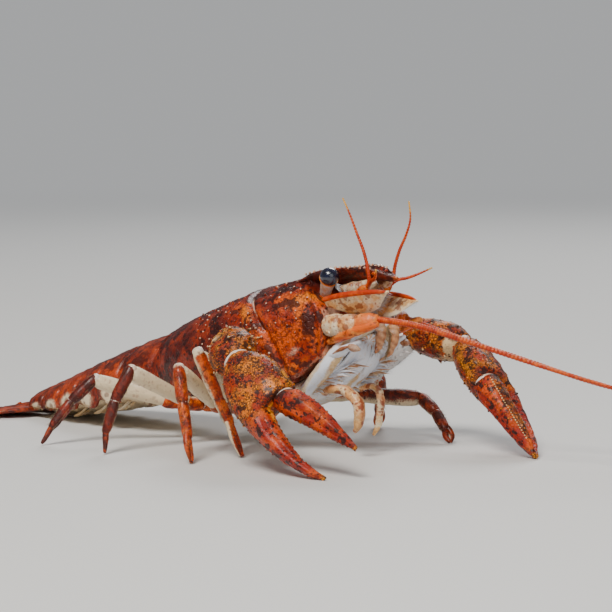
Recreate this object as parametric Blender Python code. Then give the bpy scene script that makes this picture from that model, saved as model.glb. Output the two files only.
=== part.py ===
"""A narrow-clawed crayfish at life size, standing with its claws on the floor.

Lengths are in millimetres until a mesh is made. The animal faces +X, its left side is +Y, and the
floor is z = 0. Places on the body are given as (s, y, h): s along the body axis from the rear edge
of the carapace, y to the left and h up from the axis, before the body is pitched up.
"""

import math
import random

import bmesh
import bpy
from mathutils import Matrix, Vector

MM = 0.001
GAP = 0.3
FLOOR = 0.0

# The body: a carapace 48 mm long with its beak, pitched up on its legs.
BODY_PITCH = math.radians(13.0)
REAR_HEIGHT = 20.0
BEAK_START = 34.0
BEAK_TIP = 48.2
GROOVE_TOP = 21.0
GROOVE_SWEEP = 9.0
ARCH_SWEEP = math.radians(120.0)
# How boxy the arch of the carapace is: 1 is round, less is squarer.
ARCH_SQUARE = 0.92
# How far the two plates turn in at the groove, and the rear plate at its own edge.
PLATE_EDGE = 0.45
REAR_PLATE = ((0.0, -0.5), (0.04, 0.0), (0.2, 0.0), (0.4, 0.0), (0.6, 0.0), (0.8, 0.0), (0.94, 0.0),
              (1.0, -PLATE_EDGE))
FRONT_PLATE = ((0.0, -PLATE_EDGE), (0.06, 0.0), (0.2, 0.0), (0.4, 0.0), (0.6, 0.0), (0.8, 0.0), (0.95, 0.0),
               (1.0, -0.4))

# Carapace sections: s, half width, top, height of the widest level, lower margin.
CARAPACE = (
    (-1.0, 9.6, -2.0, -9.0, -13.6),
    (4.0, 11.2, -0.9, -8.6, -14.6),
    (10.0, 12.2, 0.0, -8.2, -15.6),
    (17.0, 12.3, 0.9, -7.8, -16.2),
    (24.0, 11.7, 1.4, -7.2, -16.2),
    (30.0, 10.5, 1.4, -6.6, -15.0),
    (35.0, 8.8, 1.0, -6.0, -12.6),
    (39.0, 7.2, 0.4, -5.4, -10.4),
)

# Block of mouthparts under the head: s, half width, top, bottom.
MOUTHPARTS = (
    (29.6, 3.4, -16.4, -18.2),
    (32.0, 4.6, -15.6, -18.0),
    (35.0, 4.8, -13.4, -16.8),
    (37.6, 4.4, -11.8, -15.2),
    (39.4, 3.2, -11.4, -13.6),
)

# Underside of the thorax: s, half width at the top, half width at the bottom, bottom.
UNDERSIDE = (
    (1.5, 5.5, 3.6, -16.0),
    (6.0, 7.0, 4.6, -17.4),
    (14.0, 7.8, 5.0, -18.8),
    (22.0, 7.6, 4.6, -19.6),
    (29.0, 6.6, 3.8, -18.6),
)

UNDERSIDE_STEPS = 8
UNDERSIDE_WALL = 1.2

# Beak sections: s, half width, top of the margin, depth of the plate.
BEAK = (
    (BEAK_START + GAP, 5.0, 1.7, 2.6),
    (36.5, 4.0, 1.8, 2.6),
    (40.0, 3.1, 1.5, 2.5),
    (43.4, 2.5, 0.8, 2.3),
    (45.0, 2.1, 0.2, 2.0),
    (46.0, 1.4, -0.4, 1.7),
    (47.2, 0.8, -1.1, 1.2),
    (BEAK_TIP, 0.3, -1.7, 0.6),
)
# Half a section of the beak: share of the half width, how far under the top, share of the depth.
BEAK_OUTLINE = (
    (0.0, 0.35, 0.0),
    (0.25, 0.75, 0.0),
    (0.7, 0.5, 0.0),
    (0.92, 0.0, 0.0),
    (1.0, 0.35, 0.0),
    (0.75, 0.0, 0.7),
    (0.0, 0.0, 1.0),
)

# Tail segments, front to rear: x, top, half width, height, depth of the side plates.
TAIL = (
    (3.0, 18.4, 9.6, 11.8, 0.4),
    (-6.2, 15.6, 10.2, 11.2, 2.4),
    (-12.2, 13.4, 10.2, 10.2, 2.2),
    (-18.0, 11.1, 9.9, 9.0, 1.6),
    (-23.4, 8.9, 9.3, 7.7, 1.0),
    (-28.4, 6.9, 8.5, 6.2, 0.5),
    (-33.6, 4.9, 7.4, 4.6, 0.1),
)

# Sections of one segment: share of its length, how far it stands out, how deep its side plates hang.
SEGMENT = (
    (0.0, -0.9, 0.1),
    (0.12, -0.25, 0.3),
    (0.38, 0.1, 1.0),
    (0.72, 0.25, 0.9),
    (1.0, 0.15, 0.25),
)
SEGMENT_WAIST = 0.62
SEGMENT_STEPS = 6

# Height of the tips of the tail fan, which lie on the floor.
FIN_LEVEL = 0.45
# Sections of a fin: share of its length, width and thickness as shares of its own.
FIN = (
    (0.0, None, 1.0),
    (0.18, 0.8, 1.0),
    (0.42, 1.0, 0.9),
    (0.7, 0.98, 0.8),
    (0.88, 0.8, 0.7),
    (0.97, 0.52, 0.6),
    (1.0, 0.3, 0.5),
)
FIN_RIDGE = 0.35
# Each fin: half width at its root, half width at its widest, thickness.
MIDDLE_FIN = (3.9, 4.4, 1.4)
INNER_FIN = (1.2, 3.1, 1.2)
OUTER_FIN = (1.2, 3.3, 1.2)
# How far behind the last segment each fin ends, and how far out.
MIDDLE_FIN_REACH = 11.2
INNER_FIN_TIP = (10.6, 9.6)
OUTER_FIN_TIP = (8.6, 15.4)
SIDE_FIN_ROOT = (5.5, 1.7)

# Eyes: root of the stalk and centre of the eye on the body, radius, and where the eye is cut off behind.
EYE_ROOT = (35.4, 3.3, -2.2)
EYE_CENTRE = (39.2, 5.9, 0.2)
EYE_RADIUS = 1.55
EYE_CUT = -0.55
EYE_STEPS = 7
EYE_SIDES = 16
# Stalk: its radius at the root, a little further, and twice under the eye.
STALK_RADII = (0.9, 1.15, 1.35, 1.35)

# Claws: the same sizes on both sides, as shares of the length of the hand.
HAND_LENGTH = 27.0
FINGER_START = 0.425
FINGER_LENGTH = 15.3
FINGER_OFFSET = 2.55
# Hand sections: share of the length, reach to the finger's side, reach to the outer side, half depth.
HAND = (
    (0.0, 1.9, 1.9, 1.7),
    (0.05, 3.0, 3.1, 2.4),
    (0.14, 4.4, 4.5, 3.0),
    (0.26, 5.0, 5.2, 3.3),
    (0.35, 5.0, 5.2, 3.2),
    (0.405, 4.9, 5.1, 3.0),
    (0.415, -0.1, 5.0, 2.8),
    (0.52, -0.6, 4.7, 2.4),
    (0.66, -0.9, 4.1, 1.9),
    (0.80, -0.8, 3.0, 1.5),
    (0.92, -0.2, 1.7, 1.0),
    (1.0, 0.35, 0.45, 0.45),
)
# Movable finger sections: share of its length, reach to the open side, reach to the inner side, half depth.
FINGER = (
    (0.0, 2.0, 2.1, 2.2),
    (0.12, 2.3, 2.2, 2.2),
    (0.35, 2.1, 1.9, 1.8),
    (0.62, 1.3, 1.7, 1.4),
    (0.85, 0.3, 1.5, 0.9),
    (1.0, -0.4, 1.2, 0.4),
)

FINGER_SIDES = 12
HAND_SIDES = 16

# Upper arm: half widths from root to elbow. Wrist: share of its length, half width, half depth.
UPPER_ARM_WIDTHS = (1.9, 1.9, 2.1, 2.6, 2.9, 2.8, 2.0)
UPPER_ARM_FLAT = 0.85
ARM_HIP = 12.4
ARM_SIDES = 14
WRIST = (
    (0.0, 1.9, 1.7),
    (0.12, 2.9, 2.5),
    (0.4, 3.7, 3.1),
    (0.7, 4.0, 3.2),
    (0.9, 3.4, 2.8),
    (1.0, 2.0, 1.8),
)
# How far the wrist starts behind the elbow.
WRIST_BACK = 0.6

# Claw arms by side: root, elbow, wrist, tip of the hand, side that the finger opens to, opening.
ARMS = {
    "right": ((27.5, -7.2, 9.4), (26.8, -17.6, 18.6), (34.0, -23.2, 16.8), (54.8, -25.8, 0.5),
              (0.54, 0.54, 0.64), 19.0),
    "left": ((27.5, 7.2, 9.4), (33.6, 19.2, 17.8), (44.6, 20.2, 16.6), (65.2, 13.6, 0.5),
             (0.14, -0.84, 0.52), -5.0),
}

# Walking legs by side and number: root, knee, ankle, start of the toe, foot.
LEGS = {
    "right": (
        ((22.0, -7.8, 7.2), (24.0, -21.2, 16.4), (26.4, -19.6, 9.6), (28.0, -18.4, 5.4), (29.6, -17.4, 0.3)),
        ((17.5, -7.8, 6.8), (22.4, -24.2, 14.0), (24.6, -25.8, 9.4), (27.0, -27.0, 4.0), (28.6, -27.8, 0.3)),
        ((13.0, -7.4, 6.6), (11.0, -24.2, 13.0), (10.2, -27.2, 8.6), (10.2, -29.2, 3.6), (11.0, -30.2, 0.3)),
        ((8.6, -6.8, 6.2), (-0.8, -21.4, 10.4), (-2.8, -25.0, 7.2), (-4.0, -28.4, 3.0), (-4.4, -30.2, 0.3)),
    ),
    "left": (
        ((22.0, 7.8, 7.2), (35.6, 19.6, 6.8), (39.4, 19.4, 4.8), (42.4, 18.2, 2.3), (44.2, 17.2, 0.3)),
        ((17.5, 7.8, 6.8), (26.2, 19.4, 9.4), (25.2, 21.6, 6.4), (23.2, 23.2, 3.0), (21.8, 24.2, 0.3)),
        ((13.0, 7.4, 6.6), (14.8, 23.4, 9.6), (14.4, 26.8, 6.8), (13.0, 29.2, 3.0), (12.2, 30.2, 0.3)),
        ((8.6, 6.8, 6.2), (2.0, 21.6, 10.4), (-1.0, 25.4, 7.2), (-3.6, 28.8, 3.0), (-5.0, 30.2, 0.3)),
    ),
}

# Legs: size by number, half widths of the upper and of the lower length, and of a pincer's loose prong.
LEG_SIZES = (1.0, 0.96, 0.92, 0.9)
LEG_UPPER = (1.0, 1.05, 1.2, 1.3, 1.2, 0.85)
LEG_UPPER_FLAT = 1.15
LEG_LOWER = (0.7, 1.05, 1.05, 0.95, 0.95, 0.75, 0.55, 0.42)
LEG_HIP = 0.27
# How far the lower length reaches over the knee.
LEG_KNEE = 0.55
# The legs that end in a small pincer, how far its two prongs stand apart, and their half widths.
PINCER_LEGS = 2
PINCER_SPREAD = 1.1
PINCER_TIP = (0.45, 0.36)
PINCER_PRONG = (0.4, 0.5, 0.42, 0.28)

# Long feelers by side, from the last joint of the base to the tip.
FEELERS = {
    "right": ((47.0, -4.6, 22.6), (54.4, -3.3, 22.0), (62.0, 1.2, 19.4), (72.4, 7.4, 15.7),
              (85.0, 11.2, 12.7), (99.0, 12.4, 10.6), (116.0, 10.6, 8.8)),
    "left": ((44.4, 5.4, 22.0), (52.6, 10.6, 18.6), (62.0, 15.0, 15.6), (74.0, 20.0, 12.0),
             (87.0, 26.8, 9.2), (99.0, 36.0, 7.4), (108.0, 47.0, 7.2)),
}
FEELER_LENGTHS = 3
FEELER_RADIUS = 0.6
FEELER_TIP_RADIUS = 0.27
FEELER_STEPS = 12
FEELER_SIDES = 8
# Base of each long feeler: where it starts on the body, its half widths, and how much it bows.
FEELER_BASE_START = (38.2, 6.0, -7.2)
FEELER_BASE_WIDTHS = (1.9, 2.1, 1.75, 1.25)
FEELER_BASE_BOW = (0.5, -0.3)

# Short feelers by side: the two threads of each, from the base to the tip.
THREADS = {
    "right": (((44.0, -2.9, 28.2), (43.8, -3.0, 30.6), (43.0, -3.1, 33.3), (41.7, -3.2, 36.0),
               (40.3, -3.4, 39.1), (38.9, -3.5, 41.6)),
              ((44.6, -3.2, 28.4), (46.4, -4.4, 29.0), (48.2, -6.0, 29.8), (49.8, -7.8, 30.8))),
    "left": (((44.0, 2.9, 28.2), (44.4, 3.0, 30.6), (45.2, 3.2, 33.2), (46.4, 3.4, 35.7),
              (47.2, 3.5, 38.3), (46.9, 3.5, 41.1)),
             ((44.6, 3.2, 28.3), (46.0, 4.2, 28.7), (47.6, 5.2, 29.4), (49.5, 6.2, 30.4))),
}

THREAD_RADII = (0.42, 0.25)
THREAD_STEPS = 12
# Base of each short feeler on the body, and its half widths.
SHORT_FEELER = ((35.8, 1.8, -3.9), (39.0, 2.1, -3.7), (42.0, 2.6, -3.2), (44.0, 2.8, -2.5))
SHORT_FEELER_WIDTHS = (1.0, 1.05, 0.95, 0.7)
THREAD_START = (43.4, 2.75, -2.8)

# Root and tips of the scale over the base of each long feeler. The left one is turned inward and down.
SCALE_ROOT = (38.3, 6.2, -3.6)
SCALE_TIPS = {"right": (50.4, -5.0, -4.2), "left": (49.4, 2.8, -6.0)}
# Scale: share of its length, reach to the inner side, reach to the outer side.
SCALE = (
    (0.0, 1.3, 0.8),
    (0.25, 3.2, 1.0),
    (0.5, 3.8, 0.9),
    (0.72, 3.0, 0.7),
    (0.86, 1.4, 0.5),
    (1.0, 0.2, 0.2),
)
SCALE_THICK = (0.55, 0.3)

# The leg-like jaws: where each starts on the body, then its joints, with the left one a little lower.
JAW_START = ((31.0, 6.2, -16.6), (36.0, 6.4, -13.8))
JAW_JOINTS = ((41.4, 3.9, 19.8), (44.8, 1.9, 21.9), (45.6, 1.6, 20.6), (45.2, 1.5, 18.6), (44.2, 1.4, 16.8))
JAW_DROP = {"right": 0.0, "left": 0.9}
JAW_WIDTHS = (1.1, 1.3, 1.25, 1.05, 0.9, 0.75, 0.3)

# Spines and tubercles: sides, how deep a root is sunk, and the spread of their sizes.
SPINE_SIDES = 5
SPINE_SINK = 0.5
SPINE_SPREAD = 0.2
GOLDEN = 0.618034
# Length above the surface, radius at the root and radius at the tip.
SHARP = (1.1, 0.45, 0.0)
SMALL = (0.8, 0.38, 0.0)
BLUNT = (0.5, 0.48, 0.2)
KNOB = (0.34, 0.5, 0.3)
TOOTH = (0.3, 0.42, 0.25)

# Tubercles of the carapace: how many on each side, and how far round they start and end.
REAR_TUBERCLES = (14, 0.26, 0.86)
FRONT_TUBERCLES = (9, 0.34, 0.84)
GROOVE_SPINES = (0.5, 0.6, 0.7, 0.8)
# Spines of the ridges behind the eyes: s and how far round.
RIDGE_SPINES = ((32.4, 0.2), (28.6, 0.22))
BEAK_SPINES = (38.2, 40.6, 42.8)

# Spines of the arms: how far along, in rings, and how far round, from the finger's side.
WRIST_SPINES = ((1.9, 0.02), (2.5, 0.97), (3.1, 0.03), (3.9, 0.0), (2.1, 0.17), (3.4, 0.2),
                (2.6, 0.33), (2.7, 0.52))
UPPER_ARM_SPINES = ((2.6, 0.05), (3.1, 0.02), (3.5, 0.05), (3.9, 0.02), (2.8, 0.3), (3.3, 0.27),
                    (3.8, 0.31))
PALM_EDGE = (2.0, 2.6, 3.2, 3.8, 4.4)
PALM_OUTSIDE = (2.2, 3.3, 4.6, 6.6)
FIXED_TEETH = (6.6, 7.3, 8.0, 8.6, 9.2, 9.8, 10.4)
FINGER_TEETH = (0.9, 1.5, 2.1, 2.7, 3.2, 3.7, 4.2)

COLOURS = {
    "shell": (0.42, 0.13, 0.04),
    "shell_dark": (0.24, 0.06, 0.03),
    "claw": (0.50, 0.15, 0.04),
    "leg": (0.52, 0.14, 0.05),
    "pale": (0.80, 0.74, 0.62),
    "feeler": (0.62, 0.18, 0.05),
    "eye": (0.02, 0.02, 0.06),
}


def finish(name, roughness=0.38):
    """The material of one kind of surface, made once."""
    material = bpy.data.materials.get(name)
    if material is None:
        material = bpy.data.materials.new(name)
        material.use_nodes = True
        shader = material.node_tree.nodes["Principled BSDF"]
        shader.inputs["Base Color"].default_value = (*COLOURS[name], 1.0)
        shader.inputs["Roughness"].default_value = roughness
        shader.inputs["Metallic"].default_value = 0.0
    return material


def smooth(table, at):
    """The row of a table of sizes at a place between its rows, on a smooth curve through them."""
    last = len(table) - 1
    index = 0
    while index < last - 1 and at > table[index + 1][0]:
        index += 1
    before = table[max(index - 1, 0)]
    start, end = table[index], table[index + 1]
    after = table[min(index + 2, last)]
    t = min(max((at - start[0]) / (end[0] - start[0]), 0.0), 1.0)
    values = []
    for p, a, b, n in zip(before, start, end, after):
        values.append(0.5 * (2 * a + (b - p) * t + (2 * p - 5 * a + 4 * b - n) * t ** 2
                             + (3 * a - p - 3 * b + n) * t ** 3))
    return values[1:]


def on_curve(points, share):
    """The point at a share of the way along a smooth curve through the points."""
    rows = [(index, *point) for index, point in enumerate(points)]
    return Vector(smooth(rows, share * (len(points) - 1)))


def body(s, y, h):
    """A place on the pitched body."""
    c, n = math.cos(BODY_PITCH), math.sin(BODY_PITCH)
    return Vector((s * c - h * n, y, REAR_HEIGHT + s * n + h * c))


def loft(rings):
    """A closed mesh through rings of the same count, capped by fans. Its triangles mirror about each
    ring's first point, so that the two faces of a thin plate split alike."""
    mesh = bmesh.new()
    rows = [[mesh.verts.new(point * MM) for point in ring] for ring in rings]
    sides = len(rows[0])
    for first, second in zip(rows, rows[1:]):
        for k in range(sides):
            a, b = first[k], first[(k + 1) % sides]
            d, c = second[k], second[(k + 1) % sides]
            if k < sides // 2:
                mesh.faces.new((a, b, c))
                mesh.faces.new((a, c, d))
            else:
                mesh.faces.new((a, b, d))
                mesh.faces.new((b, c, d))
    for row, turn in ((rows[0], -1), (rows[-1], 1)):
        centre = mesh.verts.new(sum((v.co for v in row), Vector()) / sides)
        for k in range(sides):
            corners = (row[k], row[(k + 1) % sides], centre)
            mesh.faces.new(corners[::turn])
    bmesh.ops.recalc_face_normals(mesh, faces=mesh.faces)
    if mesh.calc_volume(signed=True) < 0:
        bmesh.ops.reverse_faces(mesh, faces=mesh.faces)
    return mesh


def axes(forward, side):
    """Unit directions along, across and out of a piece, from its direction and a rough side."""
    forward = Vector(forward).normalized()
    out = Vector(side) - forward * forward.dot(Vector(side))
    out.normalize()
    return forward, out, forward.cross(out)


def ring(centre, across, up, plus, minus, high, low=None, sides=12, square=1.0):
    """A closed oval of points: its reach to either side, its height and depth, and how boxy it is."""
    low = high if low is None else low
    middle, half = (plus - minus) / 2, (plus + minus) / 2
    points = []
    for k in range(sides):
        c, n = math.cos(math.tau * k / sides), math.sin(math.tau * k / sides)
        v = middle + half * math.copysign(abs(c) ** square, c)
        w = (high if n > 0 else low) * math.copysign(abs(n) ** square, n)
        points.append(centre + across * v + up * w)
    return points


def bent_tube(points, widths, side, flat=1.0, sides=10, square=1.0):
    """Rings along a bent path, each turned halfway between the runs that meet at it."""
    rings = []
    for index, (point, width) in enumerate(zip(points, widths)):
        before = points[max(index - 1, 0)]
        after = points[min(index + 1, len(points) - 1)]
        first = (point - before).normalized() if index else (after - point).normalized()
        second = (after - point).normalized() if index < len(points) - 1 else first
        forward, out, up = axes(first + second, side)
        stretch = 1.0 / max(first.dot(forward), 0.5)
        bend = (second - first) - forward * (second - first).dot(forward)
        wide = stretch if bend.length > 0.05 and abs(bend.normalized().dot(out)) > 0.7 else 1.0
        high = stretch if bend.length > 0.05 and wide == 1.0 else 1.0
        rings.append(ring(point, out, up, width * wide, width * wide, width * flat * high,
                          sides=sides, square=square))
    return rings


def grown(rings, by=GAP):
    """A closed mesh through rings, made bigger all round for cutting its neighbours clear of it."""
    mesh = loft(rings)
    mesh.normal_update()
    moves = [vert.normal * min(vert.calc_shell_factor(), 1.8) * by * MM for vert in mesh.verts]
    for vert, move in zip(mesh.verts, moves):
        vert.co += move
    return mesh


def add_node(name, rings, material):
    """An object of the model, from the rings of its surface."""
    RINGS[name] = rings
    mesh = loft(rings)
    data = bpy.data.meshes.new(name)
    mesh.to_mesh(data)
    mesh.free()
    data.shade_smooth()
    data.materials.append(finish(material))
    node = bpy.data.objects.new(name, data)
    CRAYFISH.objects.link(node)
    node.parent = STAND
    return node


def cutter_of(mesh, name):
    """A hidden object that another is cut by or joined with."""
    data = bpy.data.meshes.new(name)
    mesh.to_mesh(data)
    mesh.free()
    cutter = bpy.data.objects.new(name, data)
    cutter.hide_render = True
    cutter.display_type = "WIRE"
    return cutter


def keep_largest(data):
    """Leaves only the largest closed surface of a mesh."""
    mesh = bmesh.new()
    mesh.from_mesh(data)
    left = set(mesh.verts)
    pieces = []
    while left:
        stack = [left.pop()]
        piece = set(stack)
        while stack:
            for edge in stack.pop().link_edges:
                for vert in edge.verts:
                    if vert in left:
                        left.remove(vert)
                        piece.add(vert)
                        stack.append(vert)
        pieces.append(piece)
    pieces.sort(key=len)
    for piece in pieces[:-1]:
        bmesh.ops.delete(mesh, geom=list(piece), context="VERTS")
    bmesh.ops.triangulate(mesh, faces=mesh.faces)
    mesh.to_mesh(data)
    mesh.free()


def combine(node, operation, others):
    """One Boolean of a node with a collection of closed meshes, applied, with the meshes removed."""
    tools = bpy.data.collections.new("tools")
    bpy.context.scene.collection.children.link(tools)
    for other in others:
        tools.objects.link(other)
    modifier = node.modifiers.new("shape", "BOOLEAN")
    modifier.operation = operation
    modifier.operand_type = "COLLECTION"
    modifier.collection = tools
    modifier.solver = "MANIFOLD"
    bpy.context.view_layer.update()
    graph = bpy.context.evaluated_depsgraph_get()
    made = bpy.data.meshes.new_from_object(node.evaluated_get(graph))
    node.modifiers.clear()
    node.data = made
    for other in others:
        bpy.data.objects.remove(other)
    bpy.data.collections.remove(tools)
    keep_largest(node.data)
    node.data.shade_smooth()


def cut_clear(name, *others):
    """Cuts a node clear of its neighbours by the gap."""
    tools = [cutter_of(grown(RINGS[other]), "grown_" + other) for other in others]
    return combine(bpy.data.objects[name], "DIFFERENCE", tools)


def rest_on_floor(node):
    """Cuts a flat where a node would reach below the floor."""
    mesh = bmesh.new()
    mesh.from_mesh(node.data)
    everything = mesh.verts[:] + mesh.edges[:] + mesh.faces[:]
    bmesh.ops.bisect_plane(mesh, geom=everything, plane_co=(0, 0, FLOOR), plane_no=(0, 0, -1),
                           clear_outer=True, dist=1e-7)
    bmesh.ops.holes_fill(mesh, edges=[edge for edge in mesh.edges if edge.is_boundary])
    bmesh.ops.triangulate(mesh, faces=mesh.faces)
    bmesh.ops.recalc_face_normals(mesh, faces=mesh.faces)
    mesh.to_mesh(node.data)
    mesh.free()
    node.data.shade_smooth()


def spike(place, heading, size):
    """A short closed cone, with its root sunk into the surface that it stands on."""
    length, radius, tip = (value * SIZES.uniform(1 - SPINE_SPREAD, 1 + SPINE_SPREAD) for value in size)
    depth = length + SPINE_SINK
    heading = heading.normalized()
    turn = heading.to_track_quat("Z", "Y").to_matrix().to_4x4()
    middle = Matrix.Translation((place + heading * (length - SPINE_SINK) / 2) * MM)
    mesh = bmesh.new()
    bmesh.ops.create_cone(mesh, cap_ends=True, cap_tris=True, segments=SPINE_SIDES, radius1=radius * MM,
                          radius2=tip * MM, depth=depth * MM, matrix=middle @ turn)
    return cutter_of(mesh, "spike")


def surface(name, along, around):
    """A point on the side of a node, so many rings along it and so far round, and the way it faces."""
    rings = RINGS[name]
    sides = len(rings[0])

    def point(u, v):
        index = min(max(int(u), 0), len(rings) - 2)
        corner = v % 1.0 * sides
        first = int(corner)
        pairs = [ring[first].lerp(ring[(first + 1) % sides], corner - first)
                 for ring in rings[index:index + 2]]
        return pairs[0].lerp(pairs[1], u - index)

    here = point(along, around)
    middle = sum(rings[round(along)], Vector()) / sides
    out = (point(along + 0.05, around) - here).cross(point(along, around + 0.03) - here)
    if out.dot(here - middle) < 0:
        out.negate()
    return here, out.normalized()


def grow_spines(name, places, size, lean=None):
    """Spines on the side of a node, leaning towards a direction."""
    lean = lean or Vector()
    spikes = []
    for along, around in places:
        here, out = surface(name, along, around)
        spikes.append(spike(here, out + lean, size))
    combine(bpy.data.objects[name], "UNION", spikes)


def arch(s, turn, grow=0.0):
    """A point of the carapace at a turn round from the middle of the back, from -1 to 1."""
    wide, top, level, low = smooth(CARAPACE, s)
    angle = turn * ARCH_SWEEP
    y = (wide + grow) * math.copysign(abs(math.sin(angle)) ** ARCH_SQUARE, angle)
    if abs(angle) < math.pi / 2:
        h = level + (top - level + grow) * math.cos(angle)
    else:
        h = level + 2 * (level - low + grow) * math.cos(angle)
    return y, h


def carapace_ring(edge, sides=32, floor_points=6, grow=0.0):
    """A ring of the carapace whose s follows an edge function of the turn, closed by a flat bottom."""
    points = []
    for k in range(sides + 1):
        turn = 2 * k / sides - 1
        s = edge(abs(turn))
        points.append(body(s, *arch(s, turn, grow)))
    first, last = points[-1], points[0]
    for k in range(1, floor_points):
        points.append(first.lerp(last, k / floor_points))
    return points


def ease(t):
    """A smooth step from 0 to 1."""
    t = min(max(t, 0.0), 1.0)
    return t * t * (3 - 2 * t)


def rear_edge(turn):
    """The rear edge of the carapace: hollow at the middle, rounded at the lower corners."""
    return 0.6 - 0.8 * ease(turn / 0.5) + 3.2 * max(0.0, (turn - 0.72) / 0.28) ** 2


def groove(turn):
    """The neck groove: far back on the top, sweeping forward down the flank."""
    return GROOVE_TOP + GROOVE_SWEEP * ease(turn * 0.92)


def front_edge(turn):
    """The front edge: set back under the beak, furthest forward at the cheek."""
    return BEAK_START + 3.6 * ease((turn - 0.22) / 0.5) - 1.4 * max(0.0, (turn - 0.8) / 0.2) ** 2


def between(start, end, share, offset=0.0):
    """The edge that lies a share of the way from one edge to another."""
    return lambda turn: start(turn) + offset + (end(turn) - start(turn) - offset) * share


def on_carapace(s, turn):
    """A point of the carapace and the direction that it faces there."""
    here = body(s, *arch(s, turn))
    along = body(s + 0.3, *arch(s + 0.3, turn)) - here
    across = body(s, *arch(s, turn + 0.01)) - here
    return here, along.cross(across).normalized()


def rough_patch(patch, start, end):
    """Tubercles spread evenly over both sides of the carapace, from one edge to another."""
    count, low, high = patch
    spikes = []
    for index in range(count):
        turn = low + (high - low) * (index * GOLDEN % 1.0)
        share = (index + 0.5) / count
        for sign in (-1, 1):
            s = start(turn) + (end(turn) - start(turn)) * share + SIZES.uniform(-0.3, 0.3)
            here, out = on_carapace(s, sign * turn)
            spikes.append(spike(here, out + FORWARD * 0.4, BLUNT))
    return spikes


def build_carapace_spines():
    """The rough flanks of the carapace, its groove spines and the ridges behind the eyes."""
    spikes = rough_patch(REAR_TUBERCLES, lambda turn: groove(turn) - 2.6, lambda turn: groove(turn) - 11.0)
    for turn in GROOVE_SPINES:
        for sign in (-1, 1):
            here, out = on_carapace(groove(turn) - 1.1, sign * turn)
            spikes.append(spike(here, out + FORWARD * 0.7, SHARP))
    combine(bpy.data.objects["carapace_rear"], "UNION", spikes)
    spikes = rough_patch(FRONT_TUBERCLES, lambda turn: groove(turn) + 2.0,
                         lambda turn: front_edge(turn) - 1.8)
    for s, turn in RIDGE_SPINES:
        for sign in (-1, 1):
            here, out = on_carapace(s, sign * turn)
            spikes.append(spike(here, out + FORWARD * 1.2, SHARP))
    combine(bpy.data.objects["carapace_front"], "UNION", spikes)
    spikes = []
    for s in BEAK_SPINES:
        half, top, depth = smooth(BEAK, s)
        for sign in (-1, 1):
            place = body(s, sign * half * 0.92, top - depth * 0.15)
            spikes.append(spike(place, Vector((0.9, sign * 0.75, 0.6)), SMALL))
    combine(bpy.data.objects["beak"], "UNION", spikes)


def build_carapace():
    """The two plates of the carapace, parted by the neck groove."""
    rear = [carapace_ring(between(rear_edge, groove, share), grow=swell) for share, swell in REAR_PLATE]
    add_node("carapace_rear", rear, "shell_dark")
    front = [carapace_ring(between(groove, front_edge, share, GAP), grow=swell)
             for share, swell in FRONT_PLATE]
    add_node("carapace_front", front, "shell")


def build_underside():
    """The block under the thorax that carries the legs."""
    rings = []
    for index in range(UNDERSIDE_STEPS + 1):
        share = index / UNDERSIDE_STEPS
        s = UNDERSIDE[0][0] + (UNDERSIDE[-1][0] - UNDERSIDE[0][0]) * share
        top_half, low_half, low = smooth(UNDERSIDE, s)
        roof = smooth(CARAPACE, s)[3] - GAP
        outline = ((top_half, roof), (top_half, roof - UNDERSIDE_WALL),
                   (low_half + UNDERSIDE_WALL, low + UNDERSIDE_WALL / 2), (low_half, low), (0.0, low + 0.2))
        points = [body(s, y, h) for y, h in outline]
        points += [body(s, -y, h) for y, h in outline[-2::-1]]
        points.append(body(s, 0.0, roof))
        rings.append(points)
    add_node("thorax_underside", rings, "pale")


def build_beak():
    """The beak between the eyes: raised margins, a hollow between them and a low keel."""
    rings = []
    for s, half, top, depth in BEAK:
        outline = [(half * out, top - under - depth * deep) for out, under, deep in BEAK_OUTLINE]
        points = [body(s, y, h) for y, h in outline]
        points += [body(s, -y, h) for y, h in outline[-2:0:-1]]
        rings.append(points)
    add_node("beak", rings, "shell")
    cut_clear("beak", "carapace_front")
    build_carapace_spines()


def build_tail():
    """Six overlapping segments with side plates, which come down to the floor at the rear."""
    for index, (front, rear) in enumerate(zip(TAIL, TAIL[1:]), start=1):
        rings = []
        for share, swell, hang in SEGMENT:
            x, top, half, height, depth = (a + (b - a) * share for a, b in zip(front, rear))
            x -= 0.0 if share else GAP / 2
            x += GAP / 2 if share == 1.0 else 0.0
            half, top = half + swell, top + swell
            waist, low = top - height * SEGMENT_WAIST, top - height + 0.6
            tip = max(waist - height * 0.1 - depth * hang, low - 0.4)
            turns = [math.pi / 2 * k / SEGMENT_STEPS for k in range(SEGMENT_STEPS + 1)]
            outline = [(half * math.sin(a), waist + (top - waist) * math.cos(a)) for a in turns]
            outline += [(half * 1.0, tip), (half - 0.9, tip), (half - 1.7, waist - height * 0.12),
                        (half * 0.45, low), (0.0, low)]
            points = [Vector((x, y, z)) for y, z in outline]
            points += [Vector((x, -y, z)) for y, z in outline[-2:0:-1]]
            rings.append(points)
        add_node(f"tail_segment_{index}", rings, "shell_dark")
    cut_clear("tail_segment_1", "carapace_rear", "thorax_underside")


def fin_rings(root, tip, size):
    """Rings of one flat fin with a low ridge along its middle."""
    root_half, mid_half, thick = size
    forward, out, up = axes(tip - root, (0.0, -1.0, 0.0))
    rings = []
    for share, width, height in FIN:
        centre = root.lerp(tip, share)
        half = root_half if width is None else mid_half * width
        high = thick / 2 * height
        rise = FIN_RIDGE * (1 - share)
        outline = ((half, 0.0), (half * 0.75, high), (half * 0.25, high), (0.0, high + rise),
                   (-half * 0.25, high), (-half * 0.75, high), (-half, 0.0), (-half * 0.6, -high),
                   (0.0, -high), (half * 0.6, -high))
        rings.append([centre + out * v + up * w for v, w in outline])
    return rings


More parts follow.
